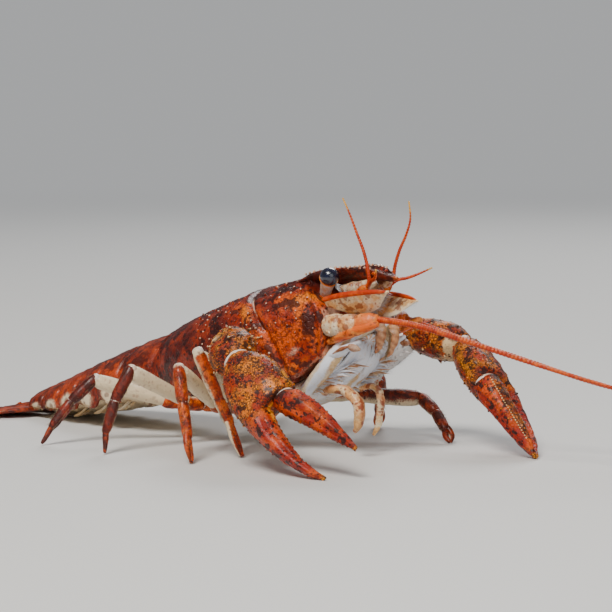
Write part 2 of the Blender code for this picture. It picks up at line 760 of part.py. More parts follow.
def build_tail_fan():
    """The middle plate of the tail fan and the two fins on either side of it."""
    end_x, end_top = TAIL[-1][0], TAIL[-1][1]
    root = Vector((end_x + 0.2, 0.0, end_top * 0.5 + 0.2))
    tip = Vector((end_x - MIDDLE_FIN_REACH, 0.0, FIN_LEVEL))
    add_node("tail_middle_plate", fin_rings(root, tip, MIDDLE_FIN), "shell_dark")
    cut_clear("tail_middle_plate", "tail_segment_6")
    for name, sign in (("right", -1), ("left", 1)):
        root = Vector((end_x, sign * SIDE_FIN_ROOT[0], SIDE_FIN_ROOT[1]))
        inner_tip, outer_tip = (Vector((end_x - back, sign * out, FIN_LEVEL))
                                for back, out in (INNER_FIN_TIP, OUTER_FIN_TIP))
        fin = add_node(f"tail_fin_{name}", fin_rings(root, inner_tip, INNER_FIN), "shell_dark")
        outer = fin_rings(root + Vector((0.1, sign * 0.6, 0.0)), outer_tip, OUTER_FIN)
        combine(fin, "UNION", [cutter_of(loft(outer), "outer_fin")])
        cut_clear(fin.name, "tail_segment_6", "tail_middle_plate")
        rest_on_floor(fin)
    rest_on_floor(bpy.data.objects["tail_middle_plate"])


def build_eyes():
    """A short stalk and a round eye on either side of the beak."""
    for name, sign in (("right", -1), ("left", 1)):
        root, centre = (body(s, sign * y, h) for s, y, h in (EYE_ROOT, EYE_CENTRE))
        forward, out, up = axes(centre - root, (0.0, 0.0, 1.0))
        end = (centre - root).length + EYE_CUT - GAP
        stalk = [ring(root + forward * along, out, up, size, size, size)
                 for along, size in zip((0.0, 0.6, end - 0.55, end), STALK_RADII)]
        add_node(f"eyestalk_{name}", stalk, "pale")
        cut_clear(f"eyestalk_{name}", "carapace_front", "beak")
        angles = [math.acos(EYE_CUT / EYE_RADIUS) * k / EYE_STEPS for k in range(EYE_STEPS, 0, -1)]
        places = [(EYE_RADIUS * math.cos(a), EYE_RADIUS * math.sin(a)) for a in angles]
        places.append((EYE_RADIUS * 0.998, EYE_RADIUS * 0.05))
        eye = [ring(centre + forward * along, out, up, size, size, size, sides=EYE_SIDES)
               for along, size in places]
        add_node(f"eye_{name}", eye, "eye")
        cut_clear(f"eye_{name}", f"eyestalk_{name}", "beak")


def build_short_feelers():
    """The base of each short feeler with its two threads."""
    for name, sign in (("right", -1), ("left", 1)):
        points = [body(s, sign * y, h) for s, y, h in SHORT_FEELER]
        rings = bent_tube(points, SHORT_FEELER_WIDTHS, (0, 1, 0), sides=8)
        base = add_node(f"short_feeler_{name}", rings, "feeler")
        s, y, h = THREAD_START
        start = body(s, sign * y, h)
        thick, thin = THREAD_RADII
        shares = [k / THREAD_STEPS for k in range(THREAD_STEPS + 1)]
        threads = []
        for route in THREADS[name]:
            path = [on_curve((start, *route), share) for share in shares]
            widths = [thick + (thin - thick) * share for share in shares]
            threads.append(cutter_of(loft(bent_tube(path, widths, (0, 1, 0), sides=6)), "thread"))
        combine(base, "UNION", threads)
        cut_clear(base.name, "carapace_front", "beak")


def build_feeler_bases():
    """The jointed base of each long feeler, with its flat scale above it."""
    for name, sign in (("right", -1), ("left", 1)):
        end = Vector(FEELERS[name][0])
        start, root = (body(s, sign * y, h) for s, y, h in (FEELER_BASE_START, SCALE_ROOT))
        bow = Vector((0.0, sign * FEELER_BASE_BOW[0], FEELER_BASE_BOW[1]))
        points = [start, start.lerp(end, 0.3) + bow, start.lerp(end, 0.65), end]
        base = add_node(f"feeler_base_{name}",
                        bent_tube(points, FEELER_BASE_WIDTHS, (0, 1, 0), sides=12), "pale")
        cut_clear(base.name, "carapace_front")
        tip = body(*SCALE_TIPS[name])
        forward, out, up = axes(tip - root, (0.0, -sign * 0.62, -0.78))
        rings = []
        for share, inner, outer in SCALE:
            thick = SCALE_THICK[0] + (SCALE_THICK[1] - SCALE_THICK[0]) * share
            rings.append(ring(root.lerp(tip, share), out, up, inner, outer, thick, sides=10))
        scale = add_node(f"feeler_scale_{name}", rings, "pale")
        cut_clear(scale.name, "carapace_front", base.name, f"eyestalk_{name}", f"short_feeler_{name}")


def build_long_feelers():
    """Each long feeler in a few lengths, tapering to its tip."""
    for name, route in FEELERS.items():
        for length in range(FEELER_LENGTHS):
            path, widths = [], []
            for k in range(FEELER_STEPS + 1):
                share = (length + k / FEELER_STEPS) / FEELER_LENGTHS
                path.append(on_curve(route, share))
                widths.append(FEELER_RADIUS + (FEELER_TIP_RADIUS - FEELER_RADIUS) * share)
            heading = (path[1] - path[0]).normalized()
            path[0] = path[0] + heading * GAP
            rings = bent_tube(path, widths, (0, 1, 0), sides=FEELER_SIDES)
            node = add_node(f"feeler_{name}_{length + 1}", rings, "feeler")
            cut_clear(node.name, f"feeler_{name}_{length}" if length else f"feeler_base_{name}")


def build_mouth():
    """The block of mouthparts under the head, and the two leg-like jaws folded in front of it."""
    rings = []
    for s, half, top, low in MOUTHPARTS:
        centre = body(s, 0.0, (top + low) / 2)
        rings.append(ring(centre, Vector((0, 1, 0)), body(0, 0, 1) - body(0, 0, 0), half, half,
                          (top - low) / 2, sides=14, square=0.8))
    add_node("mouthparts", rings, "pale")
    cut_clear("mouthparts", "carapace_front", "carapace_rear", "thorax_underside")
    for name, sign in (("right", -1), ("left", 1)):
        points = [body(s, sign * y, h) for s, y, h in JAW_START]
        points += [Vector((x, sign * y, z - JAW_DROP[name])) for x, y, z in JAW_JOINTS]
        jaw = add_node(f"leg_jaw_{name}", bent_tube(points, JAW_WIDTHS, (0, 1, 0), sides=9), "pale")
        cut_clear(jaw.name, "carapace_front", "carapace_rear", "thorax_underside", "mouthparts",
                  f"feeler_base_{name}", f"feeler_scale_{name}")


def build_arm(name):
    """One claw arm: upper arm, wrist, hand with its fixed finger, and movable finger."""
    root, elbow, wrist, tip, side, opening = ARMS[name]
    root, elbow, wrist, tip = (Vector(point) for point in (root, elbow, wrist, tip))
    across = Vector(side)
    sign = -1 if name == "right" else 1
    hip = Vector((root.x + 0.6, sign * ARM_HIP, root.z + 0.6))
    points = [root, root.lerp(hip, 0.55), hip, hip.lerp(elbow, 0.35), hip.lerp(elbow, 0.7),
              hip.lerp(elbow, 0.9), elbow]
    rings = bent_tube(points, UPPER_ARM_WIDTHS, (1.0, 0.0, 0.2), flat=UPPER_ARM_FLAT, sides=ARM_SIDES)
    add_node(f"arm_{name}_upper", rings, "pale")
    grow_spines(f"arm_{name}_upper", UPPER_ARM_SPINES, SMALL, (elbow - hip).normalized() * 0.5)
    cut_clear(f"arm_{name}_upper", "thorax_underside", "carapace_rear", "carapace_front", "mouthparts",
              f"leg_jaw_{name}")
    heading = (wrist - elbow).normalized()
    forward, out, up = axes(heading, across)
    rings = []
    length = (wrist - elbow).length
    for share, half, high in WRIST:
        along = length * share - WRIST_BACK * (1 - share)
        rings.append(ring(elbow + heading * along, out, up, half, half, high, sides=ARM_SIDES, square=0.92))
    add_node(f"arm_{name}_wrist", rings, "claw")
    grow_spines(f"arm_{name}_wrist", WRIST_SPINES, SHARP, heading * 0.6)
    cut_clear(f"arm_{name}_wrist", f"arm_{name}_upper", "carapace_rear", "carapace_front")
    forward, out, up = axes(tip - wrist, across)
    rings = [ring(wrist + forward * (share * HAND_LENGTH), out, up, plus, minus, high, sides=HAND_SIDES,
                  square=0.9)
             for share, plus, minus, high in HAND]
    hand = add_node(f"arm_{name}_hand", rings, "claw")
    edges = [(along, 0.0) for along in PALM_EDGE] + [(along, 0.5) for along in PALM_OUTSIDE]
    grow_spines(hand.name, edges, KNOB, forward * 0.4)
    if opening > 0:
        grow_spines(hand.name, [(along, 0.0) for along in FIXED_TEETH], TOOTH)
    cut_clear(hand.name, f"arm_{name}_wrist")
    angle = math.radians(opening)
    along = (forward * math.cos(angle) + out * math.sin(angle)).normalized()
    sideways = (out * math.cos(angle) - forward * math.sin(angle)).normalized()
    hinge = wrist + forward * HAND_LENGTH * FINGER_START + out * FINGER_OFFSET
    rings = []
    for share, plus, minus, high in FINGER:
        turn = sideways if share else out
        rings.append(ring(hinge + along * (share * FINGER_LENGTH), turn, up, plus, minus, high,
                          sides=FINGER_SIDES))
    finger = add_node(f"arm_{name}_finger", rings, "claw")
    grow_spines(finger.name, [(along, 0.5) for along in FINGER_TEETH], TOOTH)
    cut_clear(finger.name, hand.name)
    rest_on_floor(hand)
    rest_on_floor(finger)


def build_leg(name, number):
    """One walking leg in two lengths, parted at the knee."""
    points = [Vector(point) for point in LEGS[name][number]]
    root, knee, ankle, toe, foot = points
    size = LEG_SIZES[number]
    hip = root.lerp(knee, LEG_HIP)
    hip.z = root.z + 0.2
    side = (knee - root).cross(Vector((0, 0, 1)))
    upper = [root, hip, hip.lerp(knee, 0.3), hip.lerp(knee, 0.65), hip.lerp(knee, 0.9), knee]
    widths = [size * width for width in LEG_UPPER]
    upper_name, lower_name = (f"leg_{name}_{number + 2}_{part}" for part in ("upper", "lower"))
    add_node(upper_name, bent_tube(upper, widths, side, flat=LEG_UPPER_FLAT), "leg")
    cut_clear(upper_name, "thorax_underside", "carapace_rear", "carapace_front", f"arm_{name}_upper",
              f"arm_{name}_wrist")
    fold = (knee - root).normalized() - (ankle - knee).normalized()
    over = knee + fold * LEG_KNEE
    lower = [knee, over, knee.lerp(ankle, 0.35) + fold * 0.25, ankle, ankle.lerp(toe, 0.5), toe,
             toe.lerp(foot, 0.6), foot]
    widths = [size * width for width in LEG_LOWER]
    spread = Vector()
    if number < PINCER_LEGS:
        spread = axes(foot - toe, fold)[1] * PINCER_SPREAD
        lower[-2] -= spread * 0.25
        widths[-2:] = [size * width for width in PINCER_TIP]
    node = add_node(lower_name, bent_tube(lower, widths, side, sides=9), "leg")
    if spread.length:
        prong = [ankle.lerp(toe, 0.75) + spread * 0.1, toe + spread * 0.5,
                 toe.lerp(foot, 0.5) + spread * 0.8, toe.lerp(foot, 0.96) + spread * 0.35]
        tube = bent_tube(prong, [size * width for width in PINCER_PRONG], side, sides=6)
        combine(node, "UNION", [cutter_of(loft(tube), "prong")])
    cut_clear(lower_name, upper_name, f"arm_{name}_wrist")
    rest_on_floor(node)


def set_origin():
    """Moves the whole animal so that the middle of its box is over the origin."""
    bpy.context.view_layer.update()
    corners = [node.matrix_world @ Vector(corner) for node in CRAYFISH.objects for corner in node.bound_box]
    low = [min(corner[axis] for corner in corners) for axis in range(3)]
    high = [max(corner[axis] for corner in corners) for axis in range(3)]
    STAND.location = (-(low[0] + high[0]) / 2, -(low[1] + high[1]) / 2, -low[2])


for thing in list(bpy.data.objects):
    bpy.data.objects.remove(thing)
RINGS = {}
SIZES = random.Random(7)
FORWARD = Vector((1.0, 0.0, 0.0))
CRAYFISH = bpy.data.collections.new("crayfish")
bpy.context.scene.collection.children.link(CRAYFISH)
STAND = bpy.data.objects.new("crayfish_origin", None)
CRAYFISH.objects.link(STAND)
build_carapace()
build_underside()
build_beak()
build_tail()
build_tail_fan()
build_eyes()
build_short_feelers()
build_feeler_bases()
build_long_feelers()
build_mouth()
for which in ("right", "left"):
    build_arm(which)
    for leg in range(4):
        build_leg(which, leg)
set_origin()
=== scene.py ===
"""The looks of a narrow-clawed crayfish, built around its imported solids.

Sizes are in millimetres in the animal's own layout, the one that its solids were laid out in: +X forward,
+Y to its left, the floor at z = 0. Places on the body are given as (s, y, h): s along the body from the rear
edge of the carapace, y to the left and h up, before the body is pitched up. Layout turns them into the
frame's metres.
"""

import logging
import random
from collections.abc import Callable, Sequence
from dataclasses import dataclass, replace
from enum import Enum
from math import copysign, cos, exp, hypot, pi, radians, sin, sqrt, tau

import bmesh
import bpy
from mathutils import Matrix, Vector, noise


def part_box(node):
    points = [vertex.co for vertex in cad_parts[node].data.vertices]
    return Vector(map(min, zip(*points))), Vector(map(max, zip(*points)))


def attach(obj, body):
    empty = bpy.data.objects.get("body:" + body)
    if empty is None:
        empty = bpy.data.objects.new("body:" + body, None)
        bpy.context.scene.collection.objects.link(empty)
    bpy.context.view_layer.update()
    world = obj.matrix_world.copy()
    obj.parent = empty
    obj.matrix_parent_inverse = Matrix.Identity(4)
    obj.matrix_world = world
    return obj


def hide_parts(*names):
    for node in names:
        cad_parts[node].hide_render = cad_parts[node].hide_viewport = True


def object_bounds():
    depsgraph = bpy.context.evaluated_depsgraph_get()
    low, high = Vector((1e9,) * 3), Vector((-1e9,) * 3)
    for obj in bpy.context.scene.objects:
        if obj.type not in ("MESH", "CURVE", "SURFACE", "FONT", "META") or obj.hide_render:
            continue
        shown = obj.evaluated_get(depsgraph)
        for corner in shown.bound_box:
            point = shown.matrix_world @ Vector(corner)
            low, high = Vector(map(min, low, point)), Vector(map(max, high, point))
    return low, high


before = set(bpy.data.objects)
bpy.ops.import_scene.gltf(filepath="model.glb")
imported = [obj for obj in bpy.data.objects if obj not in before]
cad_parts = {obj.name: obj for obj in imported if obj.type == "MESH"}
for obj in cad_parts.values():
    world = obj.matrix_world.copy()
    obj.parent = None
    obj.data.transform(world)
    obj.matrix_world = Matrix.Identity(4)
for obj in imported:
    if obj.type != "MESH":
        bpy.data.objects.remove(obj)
CAD_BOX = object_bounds()
LOG = logging.getLogger("crayfish")

MM = 0.001
# Vertices closer than this, in metres, become one.
MERGE = 1e-7
# How far the top of the block under the thorax lies below the carapace's lower margin.
GAP = 0.3
# The golden ratio, which spreads places evenly round a surface.
GOLDEN = 0.618034
# Where a spine starts, as a share of its length under the surface, and how many sides it has.
SPINE_ROOT = -0.3
SPINE_SIDES = 7
Table = Sequence[Sequence[float]]
Ring = list[Vector]
Tone = Callable[[float, float], float]
Colour = tuple[float, float, float]
Socket = bpy.types.NodeSocket
Sockets = dict[str | int, object]

BODY_PITCH = radians(13.0)
REAR_HEIGHT = 20.0
UP = Vector((0.0, 0.0, 1.0))
LEFTWARD = Vector((0.0, 1.0, 0.0))

# Carapace sections: s, half width, top, height of the widest level, lower margin.
CARAPACE: Table = (
    (-1.0, 9.6, -2.0, -9.0, -13.6),
    (4.0, 11.2, -0.9, -8.6, -14.6),
    (10.0, 12.2, 0.0, -8.2, -15.6),
    (17.0, 12.3, 0.9, -7.8, -16.2),
    (24.0, 11.7, 1.4, -7.2, -16.2),
    (30.0, 10.5, 1.4, -6.6, -15.0),
    (35.0, 8.8, 1.0, -6.0, -12.6),
    (39.0, 7.2, 0.4, -5.4, -10.4),
)

# Underside of the thorax: s, half width at the top, half width at the bottom, bottom.
UNDERSIDE: Table = (
    (1.5, 5.5, 3.6, -16.0),
    (6.0, 7.0, 4.6, -17.4),
    (14.0, 7.8, 5.0, -18.8),
    (22.0, 7.6, 4.6, -19.6),
    (29.0, 6.6, 3.8, -18.6),
)

# Beak sections: s, half width, top of the margin, depth of the plate.
BEAK: Table = (
    (34.3, 5.0, 1.7, 2.6),
    (36.5, 4.0, 1.8, 2.6),
    (40.0, 3.1, 1.5, 2.5),
    (43.4, 2.5, 0.8, 2.3),
    (45.0, 2.1, 0.2, 2.0),
    (46.0, 1.4, -0.4, 1.7),
    (47.2, 0.8, -1.1, 1.2),
    (48.2, 0.3, -1.7, 0.6),
)

# Tail segments, front to rear: x, top, half width, height, depth of the side plates.
TAIL: Table = (
    (3.0, 18.4, 9.6, 11.8, 0.4),
    (-6.2, 15.6, 10.2, 11.2, 2.4),
    (-12.2, 13.4, 10.2, 10.2, 2.2),
    (-18.0, 11.1, 9.9, 9.0, 1.6),
    (-23.4, 8.9, 9.3, 7.7, 1.0),
    (-28.4, 6.9, 8.5, 6.2, 0.5),
    (-33.6, 4.9, 7.4, 4.6, 0.1),
)
# Height of the tips of the tail fan over the floor.
FIN_LEVEL = 0.45

# Claws, as shares of the length of the hand: reach to the finger's side, to the outer side, half depth.
HAND_LENGTH = 27.0
FINGER_START = 0.425
FINGER_LENGTH = 15.3
FINGER_OFFSET = 2.55
NOTCH = 0.405
PALM: Table = (
    (0.0, 1.9, 1.9, 1.7),
    (0.05, 3.0, 3.1, 2.4),
    (0.14, 4.4, 4.5, 3.0),
    (0.26, 5.0, 5.2, 3.3),
    (0.35, 5.0, 5.2, 3.2),
    (0.43, 4.7, 5.05, 2.9),
)
FIXED_FINGER: Table = (
    (0.39, 0.0, 5.1, 3.0),
    (0.52, -0.6, 4.7, 2.4),
    (0.66, -0.9, 4.1, 1.9),
    (0.80, -0.8, 3.0, 1.5),
    (0.92, -0.2, 1.7, 1.0),
    (1.0, 0.35, 0.45, 0.45),
)
# Movable finger: share of its length, reach to the open side, reach to the inner side, half depth.
FINGER: Table = (
    (0.0, 2.0, 2.1, 2.2),
    (0.12, 2.3, 2.2, 2.2),
    (0.35, 2.1, 1.9, 1.8),
    (0.62, 1.3, 1.7, 1.4),
    (0.85, 0.3, 1.5, 0.9),
    (1.0, -0.4, 1.2, 0.4),
)


class Mark(Enum):
    """What a mesh tells its material about a vertex, as an attribute from 0 to 1."""

    PALE = "pale"
    DARK = "dark"
    BLUSH = "blush"
    GLOW = "glow"


PALE, DARK, BLUSH, GLOW = Mark


class Slot(Enum):
    """The record's material slots."""

    SHELL = "shell"
    TAIL = "tail"
    CLAW = "claw"
    LEG = "leg"
    UNDERSIDE = "underside"
    FEELER = "feeler"
    EYE = "eye"


class Side(Enum):
    """A side of the animal, with the sign of y there."""

    RIGHT = -1
    LEFT = 1

    @property
    def word(self) -> str:
        """The side's name, as node names have it."""
        return self.name.lower()


# Claw arms: root, elbow, wrist, tip of the hand, side that the finger opens to, opening in degrees.
ARMS = {
    Side.RIGHT: ((27.5, -7.2, 9.4), (26.8, -17.6, 18.6), (34.0, -23.2, 16.8), (54.8, -25.8, 0.5),
                 (0.54, 0.54, 0.64), 19.0),
    Side.LEFT: ((27.5, 7.2, 9.4), (33.6, 19.2, 17.8), (44.6, 20.2, 16.6), (65.2, 13.6, 0.5),
                (0.14, -0.84, 0.52), -5.0),
}

# Walking legs by side: root, knee, ankle, start of the toe, foot of each.
LEGS = {
    Side.RIGHT: (
        ((22.0, -7.8, 7.2), (24.0, -21.2, 16.4), (26.4, -19.6, 9.6), (28.0, -18.4, 5.4), (29.6, -17.4, 0.3)),
        ((17.5, -7.8, 6.8), (22.4, -24.2, 14.0), (24.6, -25.8, 9.4), (27.0, -27.0, 4.0), (28.6, -27.8, 0.3)),
        ((13.0, -7.4, 6.6), (11.0, -24.2, 13.0), (10.2, -27.2, 8.6), (10.2, -29.2, 3.6), (11.0, -30.2, 0.3)),
        ((8.6, -6.8, 6.2), (-0.8, -21.4, 10.4), (-2.8, -25.0, 7.2), (-4.0, -28.4, 3.0), (-4.4, -30.2, 0.3)),
    ),
    Side.LEFT: (
        ((22.0, 7.8, 7.2), (35.6, 19.6, 6.8), (39.4, 19.4, 4.8), (42.4, 18.2, 2.3), (44.2, 17.2, 0.3)),
        ((17.5, 7.8, 6.8), (26.2, 19.4, 9.4), (25.2, 21.6, 6.4), (23.2, 23.2, 3.0), (21.8, 24.2, 0.3)),
        ((13.0, 7.4, 6.6), (14.8, 23.4, 9.6), (14.4, 26.8, 6.8), (13.0, 29.2, 3.0), (12.2, 30.2, 0.3)),
        ((8.6, 6.8, 6.2), (2.0, 21.6, 10.4), (-1.0, 25.4, 7.2), (-3.6, 28.8, 3.0), (-5.0, 30.2, 0.3)),
    ),
}

# Long feelers by side, from the last joint of the base to the tip.
FEELERS = {
    Side.RIGHT: ((47.0, -4.6, 22.6), (54.4, -3.3, 22.0), (62.0, 1.2, 19.4), (72.4, 7.4, 15.7),
                 (85.0, 11.2, 12.7), (99.0, 12.4, 10.6), (116.0, 10.6, 8.8)),
    Side.LEFT: ((44.4, 5.4, 22.0), (52.6, 10.6, 18.6), (62.0, 15.0, 15.6), (74.0, 20.0, 12.0),
                (87.0, 26.8, 9.2), (99.0, 36.0, 7.4), (108.0, 47.0, 7.2)),
}

# Short feelers by side: the two threads of each, from the base to the tip.
THREADS = {
    Side.RIGHT: (((44.0, -2.9, 28.2), (43.8, -3.0, 30.6), (43.0, -3.1, 33.3), (41.7, -3.2, 36.0),
                  (40.3, -3.4, 39.1), (38.9, -3.5, 41.6)),
                 ((44.6, -3.2, 28.4), (46.4, -4.4, 29.0), (48.2, -6.0, 29.8), (49.8, -7.8, 30.8))),
    Side.LEFT: (((44.0, 2.9, 28.2), (44.4, 3.0, 30.6), (45.2, 3.2, 33.2), (46.4, 3.4, 35.7),
                 (47.2, 3.5, 38.3), (46.9, 3.5, 41.1)),
                ((44.6, 3.2, 28.3), (46.0, 4.2, 28.7), (47.6, 5.2, 29.4), (49.5, 6.2, 30.4))),
}
THREAD_START = (43.4, 2.75, -2.8)

# Tip of the scale over the base of each long feeler, on the body.
SCALE_TIPS = {Side.RIGHT: (50.3, -5.0, -4.2), Side.LEFT: (49.3, 2.8, -6.0)}

# The leg-like jaws: where each starts on the body, then its joints, with the left one a little lower.
JAW_START = ((30.4, 6.0, -16.9), (36.0, 6.4, -13.8))
JAW_JOINTS = ((41.4, 3.9, 19.8), (44.8, 1.9, 21.9), (45.6, 1.6, 20.6), (45.2, 1.5, 18.6), (44.2, 1.4, 16.9))
JAW_DROP = {Side.RIGHT: 0.0, Side.LEFT: 0.9}


def smooth(table: Table, at: float) -> list[float]:
    """Reads a table of sizes on a smooth curve through its rows.

    Args:
        table: Rows whose first number is the place and whose others are sizes there.
        at: The place to read.

    Returns:
        The sizes at that place.
    """
    last = len(table) - 1
    index = 0
    while index < last - 1 and at > table[index + 1][0]:
        index += 1
    before, start = table[max(index - 1, 0)], table[index]
    end, after = table[index + 1], table[min(index + 2, last)]
    t = min(max((at - start[0]) / (end[0] - start[0]), 0.0), 1.0)
    return [
        0.5 * (2 * a + (b - p) * t + (2 * p - 5 * a + 4 * b - n) * t**2 + (3 * a - p - 3 * b + n) * t**3)
        for p, a, b, n in zip(before, start, end, after)
    ][1:]


def on_curve(points: Sequence[Vector], share: float) -> Vector:
    """The point at a share of the way along a smooth curve through the points."""
    rows = [(index, *point) for index, point in enumerate(points)]
    return Vector(smooth(rows, share * (len(points) - 1)))


def ease(t: float) -> float:
    """A smooth step from 0 to 1."""
    t = min(max(t, 0.0), 1.0)
    return t * t * (3 - 2 * t)


def climb(t: float, start: float, width: float) -> float:
    """A smooth step from 0 at the start to 1 a width further on."""
    return ease((t - start) / width)


def sink(t: float, end: float, width: float) -> float:
    """A smooth step from 1 to 0, which it reaches at the end, over a width."""
    return ease((end - t) / width)


def shares(steps: int) -> list[float]:
    """The shares of a way from 0 to 1, in so many steps."""
    return [index / steps for index in range(steps + 1)]


def hump(t: float, centre: float, width: float) -> float:
    """A smooth hump of height 1 round a centre."""
    return exp(-(((t - centre) / width) ** 2))


def wrap(u: float, centre: float, width: float) -> float:
    """A smooth hump of height 1 so far round a ring."""
    return hump((u - centre + 0.5) % 1.0 - 0.5, 0.0, width)


def body(s: float, y: float, h: float) -> Vector:
    """A place on the pitched body, in the layout."""
    c, n = cos(BODY_PITCH), sin(BODY_PITCH)
    return Vector((s * c - h * n, y, REAR_HEIGHT + s * n + h * c))


def axes(forward: Vector, side: Vector) -> tuple[Vector, Vector, Vector]:
    """Unit directions along, across and out of a piece, from its direction and a rough side."""
    forward = Vector(forward).normalized()
    out = Vector(side) - forward * forward.dot(Vector(side))
    out.normalize()
    return forward, out, forward.cross(out)


class Layout:
    """Turns the layout's millimetres into the frame's metres."""

    def __init__(self) -> None:
        """Finds how far the layout was moved, from the block under the thorax, which nothing cuts."""
        low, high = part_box("thorax_underside")
        start = UNDERSIDE[0][0]
        rear = body(start, 0.0, smooth(CARAPACE, start)[3] - GAP).x
        self.shift = Vector((low.x / MM - rear, (low.y + high.y) / 2 / MM, CAD_BOX[0].z / MM))

    def world(self, point: Vector) -> Vector:
        """A layout point in the frame."""
        return (point + self.shift) * MM


LAYOUT = Layout()


def new_object(name: str, data: bpy.types.ID) -> bpy.types.Object:
    """A new object in the scene."""
    made = bpy.data.objects.new(name, data)
    bpy.context.scene.collection.objects.link(made)
    return made


def aimed(name: str, data: bpy.types.ID, place: Vector, way: Vector) -> bpy.types.Object:
    """A new camera or light in the scene, at a place in metres and turned to look a way."""
    made = new_object(name, data)
    made.location = place
    made.rotation_mode = "QUATERNION"
    made.rotation_quaternion = way.to_track_quat("-Z", "Y")
    return made


def oval(
    centre: Vector,
    across: Vector,
    up: Vector,
    plus: float,
    minus: float,
    high: float,
    sides: int = 32,
    square: float = 1.0,
    swell: Callable[[float], float] | None = None,
) -> Ring:
    """A closed oval of points.

    Args:
        centre: Its middle.
        across: The direction of its first point.
        up: The direction of the point a quarter round.
        plus: Its reach along across.
        minus: Its reach against across.
        high: Its reach along up and against it.
        sides: How many points it has.
        square: Below 1 it is boxy.
        swell: How far it stands out, in millimetres, so far round.

    Returns:
        The points.
    """
    middle, half = (plus - minus) / 2, (plus + minus) / 2
    points = []
    for k in range(sides):
        c, n = cos(tau * k / sides), sin(tau * k / sides)
        v = half * copysign(abs(c) ** square, c)
        w = high * copysign(abs(n) ** square, n)
        grow = 1.0
        if swell:
            grow += swell(k / sides) / max(hypot(v, w), 0.05)
        points.append(centre + across * (middle + v * grow) + up * (w * grow))
    return points


def middle_of(ring: Ring) -> Vector:
    """The middle of a ring's points."""
    return sum(ring, Vector()) / len(ring)


def domed(rings: list[Ring], start: float, end: float, steps: int = 4) -> list[Ring]:
    """Closes rings with a round dome at each end.

    Args:
        rings: The rings of a tube.
        start: How far the first dome stands out.
        end: How far the last dome stands out.
        steps: The rings in a dome.

    Returns:
        The rings with those of the domes before and after them.
    """

    def dome(edge: Ring, behind: Ring, reach: float) -> list[Ring]:
        """The rings of one dome, from an edge outward."""
        middle = middle_of(edge)
        way = (middle - middle_of(behind)).normalized()
        made = []
        for step in range(1, steps + 1):
            angle = pi / 2 * step / steps
            made.append([middle + (point - middle) * cos(angle) + way * reach * sin(angle) for point in edge])
        return made

    return dome(rings[0], rings[1], start)[::-1] + rings + dome(rings[-1], rings[-2], end)


def tube(
    points: Sequence[Vector],
    widths: Table,
    side: Vector,
    steps: int = 24,
    sides: int = 20,
    flat: float = 1.0,
    swell: Tone | None = None,
    square: float = 1.0,
) -> list[Ring]:
    """Rings along a smooth curve, with a round dome at each end.

    Args:
        points: What the curve runs through.
        widths: Half widths, by the share of the way.
        side: The rough direction of each ring's first point.
        steps: How many lengths the curve is cut into.
        sides: The points in a ring.
        flat: The half depth as a share of the half width.
        swell: How far the surface stands out, by the share of the way and how far round.
        square: Below 1 it is boxy.

    Returns:
        The rings.
    """
    path = [on_curve(points, share) for share in shares(steps)]
    rings = []
    for index, place in enumerate(path):
        ahead = path[min(index + 1, steps)] - path[max(index - 1, 0)]
        _, out, up = axes(ahead, side)
        share = index / steps
        half = smooth(widths, share)[0]
        relief = (lambda around, share=share: swell(share, around)) if swell else None
        rings.append(oval(place, out, up, half, half, half * flat, sides=sides, square=square, swell=relief))
    return domed(rings, widths[0][1] * 0.7, widths[-1][1] * 0.7)


def mirrored(outline: Table, count: int) -> list[tuple[float, float]]:
    """Points on a smooth curve through a half outline and then back along its mirror image."""
    points = [Vector((y, h, 0.0)) for y, h in outline]
    half = [on_curve(points, share) for share in shares(count)]
    return [(point.x, point.y) for point in half] + [(-point.x, point.y) for point in half[-2:0:-1]]


class Surface:
    """Reads places on a skin's rings, to set spines and hairs on it."""

    def __init__(self, rings: list[Ring]) -> None:
        """Keeps the rings."""
        self.rings = rings

    def point(self, v: float, u: float) -> Vector:
        """The place a share v along the rings and u round."""
        sides = len(self.rings[0])
        along = min(max(v, 0.0), 1.0) * (len(self.rings) - 1)
        index = min(int(along), len(self.rings) - 2)
        corner = u % 1.0 * sides
        first = int(corner) % sides
        pair = [
            ring[first].lerp(ring[(first + 1) % sides], corner - int(corner))
            for ring in self.rings[index : index + 2]
        ]
        return pair[0].lerp(pair[1], along - index)

    def row(self, u: float, start: float, reach: float, count: int = 5) -> Ring:
        """Places along the skin, so far round: the first at start, the last a reach further on."""
        return [self.point(start + reach * k / (count - 1), u) for k in range(count)]

    def facing(self, v: float, u: float) -> tuple[Vector, Vector]:
        """A place and the direction that the skin faces there."""
        here = self.point(v, u)
        along = self.point(v + 0.01, u) - self.point(v - 0.01, u)
        across = self.point(v, u + 0.02) - self.point(v, u - 0.02)
        out = along.cross(across)
        if out.dot(here - middle_of(self.rings[round(v * (len(self.rings) - 1))])) < 0:
            out.negate()
        return here, out.normalized()


